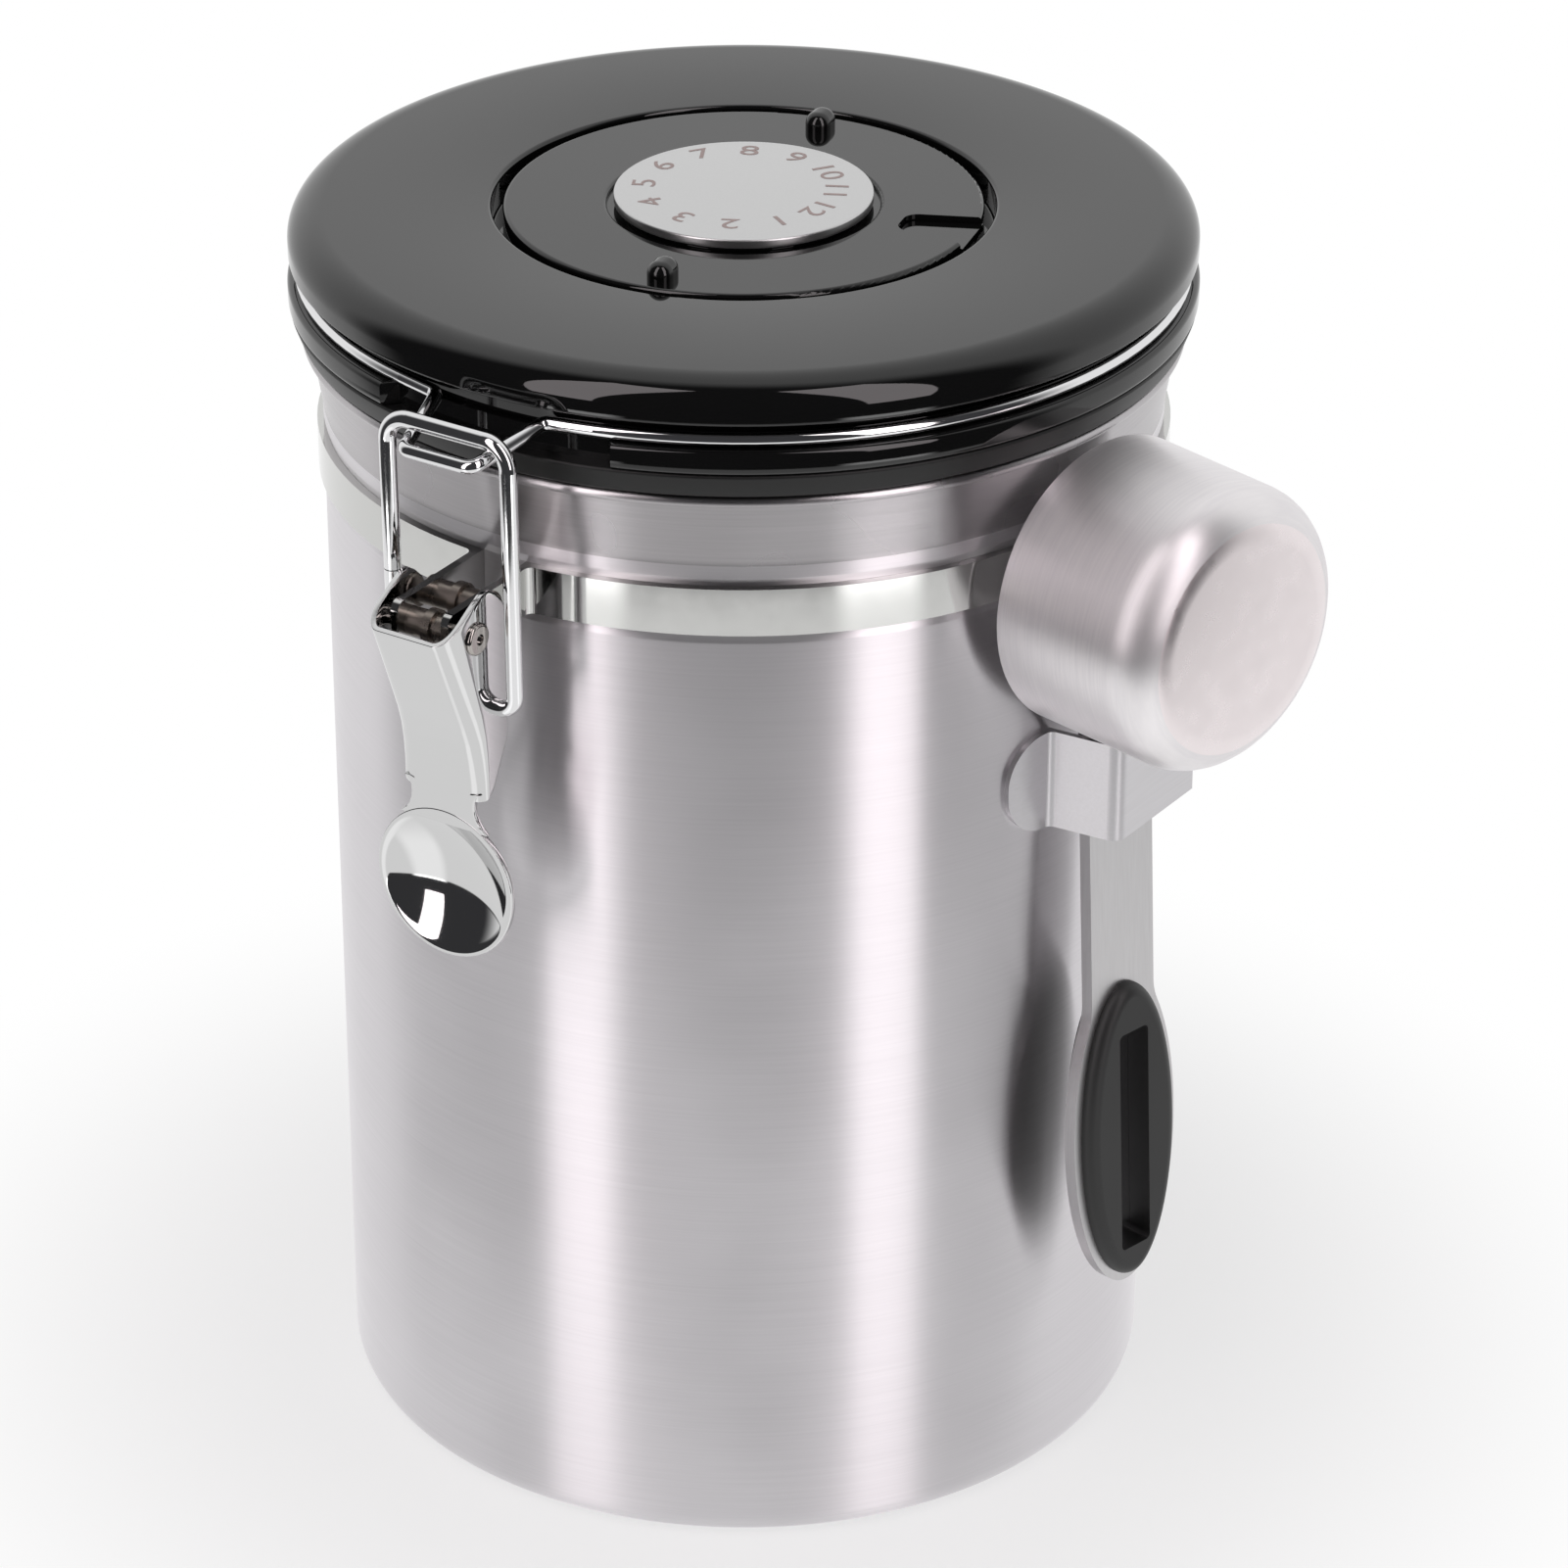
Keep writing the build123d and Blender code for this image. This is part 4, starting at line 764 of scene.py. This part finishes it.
# %% White table
table_reach = 0.40
table_drop = 0.0002
wall_turn = camera_turn - math.radians(12)
white_side = (-math.sin(wall_turn), math.cos(wall_turn), 0.0)
table_mesh = bpy.data.meshes.new("studio_floor")
table_rim = [
    (table_reach * math.cos(math.radians(turn)), table_reach * math.sin(math.radians(turn)), 0)
    for turn in range(0, 360, 5)
]
table_mesh.from_pydata(table_rim, [], [tuple(range(len(table_rim)))])
table = bpy.data.objects.new("studio_floor", table_mesh)
scene.collection.objects.link(table)
table.location.z = solid_box[0][2] - table_drop

table_finish, tree, spot = new_finish("white_table")
rays = add(tree, "ShaderNodeLightPath").outputs
mirror_ray = rays["Is Glossy Ray"]
from_can = vectors(tree, "LENGTH", spot, output="Value")
spot_way = vectors(tree, "NORMALIZE", spot)


def soft_between(tree, value, low, high, start=0.0, end=1.0):
    return between(tree, value, low, high, start, end, "SMOOTHSTEP")


shadow_foot, shadow_end, shadow_lift = 0.065, 0.16, 0.55
clear = soft_between(tree, from_can, shadow_foot, shadow_end, start=shadow_lift)
camera_white = numbers(tree, "MULTIPLY", rays["Is Camera Ray"], clear)
edge_near, edge_far, edge_dark = 0.374, 0.385, 0.96
past_edge = soft_between(tree, from_can, edge_near, edge_far, end=edge_dark)
dark_side_ends, white_side_starts = -0.15, 0.25
spot_side = vectors(tree, "DOT_PRODUCT", spot_way, output="Value", in1=white_side)
front = soft_between(tree, spot_side, dark_side_ends, white_side_starts, start=1.0, end=0.0)
lost = numbers(tree, "MULTIPLY", mirror_ray, numbers(tree, "MULTIPLY", past_edge, front))
table_white = numbers(tree, "SUBTRACT", 1.0, lost)

# %% The soft boxes' light on the table and past its edge
box_turns = (-39.5, 34.0)
patch_edge, patch_full = math.cos(math.radians(13)), math.cos(math.radians(6))
under_boxes = []
for turn in box_turns:
    spin = camera_turn + math.radians(turn)
    box_way = (math.sin(spin), -math.cos(spin), 0.0)
    facing_box = vectors(tree, "DOT_PRODUCT", spot_way, output="Value", in1=box_way)
    under_boxes.append(soft_between(tree, facing_box, patch_edge, patch_full))
patch = numbers(tree, "MAXIMUM", *under_boxes)
patch_near, patch_far, patch_gain = 0.09, 0.18, 0.28
on_table = soft_between(tree, from_can, patch_near, patch_far, end=patch_gain)
box_near, box_far, box_gain = 0.37, 0.385, 3.2
past_table = soft_between(tree, from_can, box_near, box_far, end=box_gain)
patch_glow = numbers(tree, "MULTIPLY", patch, numbers(tree, "ADD", on_table, past_table))
mirror_glow = numbers(tree, "MULTIPLY", patch_glow, mirror_ray)
strength = numbers(tree, "ADD", table_white, mirror_glow)
shown_white = numbers(tree, "MAXIMUM", mirror_ray, camera_white)
paper = add(tree, "ShaderNodeBsdfDiffuse", Color=linear("#f4f4f4"))
white = add(tree, "ShaderNodeEmission", Color=linear("#ffffff"), Strength=strength)
show(tree, add(tree, "ShaderNodeMixShader", in0=shown_white, in1=paper.outputs[0],
               in2=white.outputs[0]))
table_mesh.materials.append(table_finish)
print("table", table_reach, "m in radius")

# %% [markdown]
# ## The room
# The camera sees plain white. A mirror sees the white wall behind the can and the dark room in front
# of it, with a soft step between them. Everything else is lit by an even, weaker white.

# %% Room
room = bpy.data.worlds.new("studio_room")
scene.world = room
room.use_nodes = True
tree = room.node_tree
tree.nodes.clear()
rays = add(tree, "ShaderNodeLightPath").outputs
way = add(tree, "ShaderNodeTexCoord").outputs["Generated"]
toward_white = vectors(tree, "DOT_PRODUCT", way, output="Value", in1=white_side)
wall_share = soft_between(tree, toward_white, dark_side_ends, white_side_starts)
wall_colour = two_tones(tree, wall_share, "#3c3c3e", "#ffffff")
even_light = 0.55
plain = add(tree, "ShaderNodeBackground", Color=linear("#ffffff"), Strength=even_light)
mirrored = add(tree, "ShaderNodeBackground", Color=wall_colour, Strength=1.0)
shown = add(tree, "ShaderNodeBackground", Color=linear("#ffffff"), Strength=1.0)
half = add(tree, "ShaderNodeMixShader", in0=rays["Is Glossy Ray"], in1=plain.outputs[0],
           in2=mirrored.outputs[0])
whole = add(tree, "ShaderNodeMixShader", in0=rays["Is Camera Ray"], in1=half.outputs[0],
            in2=shown.outputs[0])
add(tree, "ShaderNodeOutputWorld", Surface=whole.outputs[0])
print("white side toward", [round(v, 2) for v in white_side])

# %% [markdown]
# ## The lamps
# Both soft boxes lean over the can, so that their reflection runs the whole height of the wall. Only
# mirrors see them. A broad lamp over the camera gives the plain surfaces their light instead.

# %% Soft boxes
lamp_colour = (1.0, 0.925, 0.944)
box_foot, box_head = (1.5, -0.10), (0.5, 1.6)
broad_foot, broad_head = (1.5, 0.6), (0.3, 1.7)
box_width, broad_width = 0.40, 1.2
box_glow, broad_glow = 3.1, 1.0


def soft_box(name, turn, foot, head, width, glow, for_mirrors):
    length = math.hypot(head[0] - foot[0], head[1] - foot[1])
    lamp = bpy.data.lights.new(name, "AREA")
    lamp.shape = "RECTANGLE"
    lamp.size = width
    lamp.size_y = length
    lamp.energy = glow * math.pi * width * length
    lamp.color = lamp_colour
    box = bpy.data.objects.new(name, lamp)
    scene.collection.objects.link(box)
    spin = camera_turn + math.radians(turn)
    outward = Vector((math.sin(spin), -math.cos(spin), 0))
    stand = outward * (foot[0] + head[0]) / 2 + Vector((0, 0, (foot[1] + head[1]) / 2))
    lean = (outward * (head[0] - foot[0]) + Vector((0, 0, head[1] - foot[1]))).normalized()
    sideways = lean.cross(outward).normalized()
    facing = sideways.cross(lean)
    turned = Matrix((sideways, lean, facing)).transposed().to_4x4()
    box.matrix_world = Matrix.Translation(stand) @ turned
    box.visible_diffuse = not for_mirrors
    box.visible_glossy = for_mirrors
    print(name, "at", [round(v, 2) for v in stand], "power", round(lamp.energy, 1), "W")


soft_box("left_soft_box", -43, box_foot, box_head, box_width, box_glow, True)
soft_box("right_soft_box", 37, box_foot, box_head, box_width, box_glow, True)
soft_box("broad_lamp", -20, broad_foot, broad_head, broad_width, broad_glow, False)

# %% [markdown]
# ## Finish
# The view transform is Standard, so that a colour comes out as it is written.

# %% Finish
scene.view_settings.view_transform = "Standard"
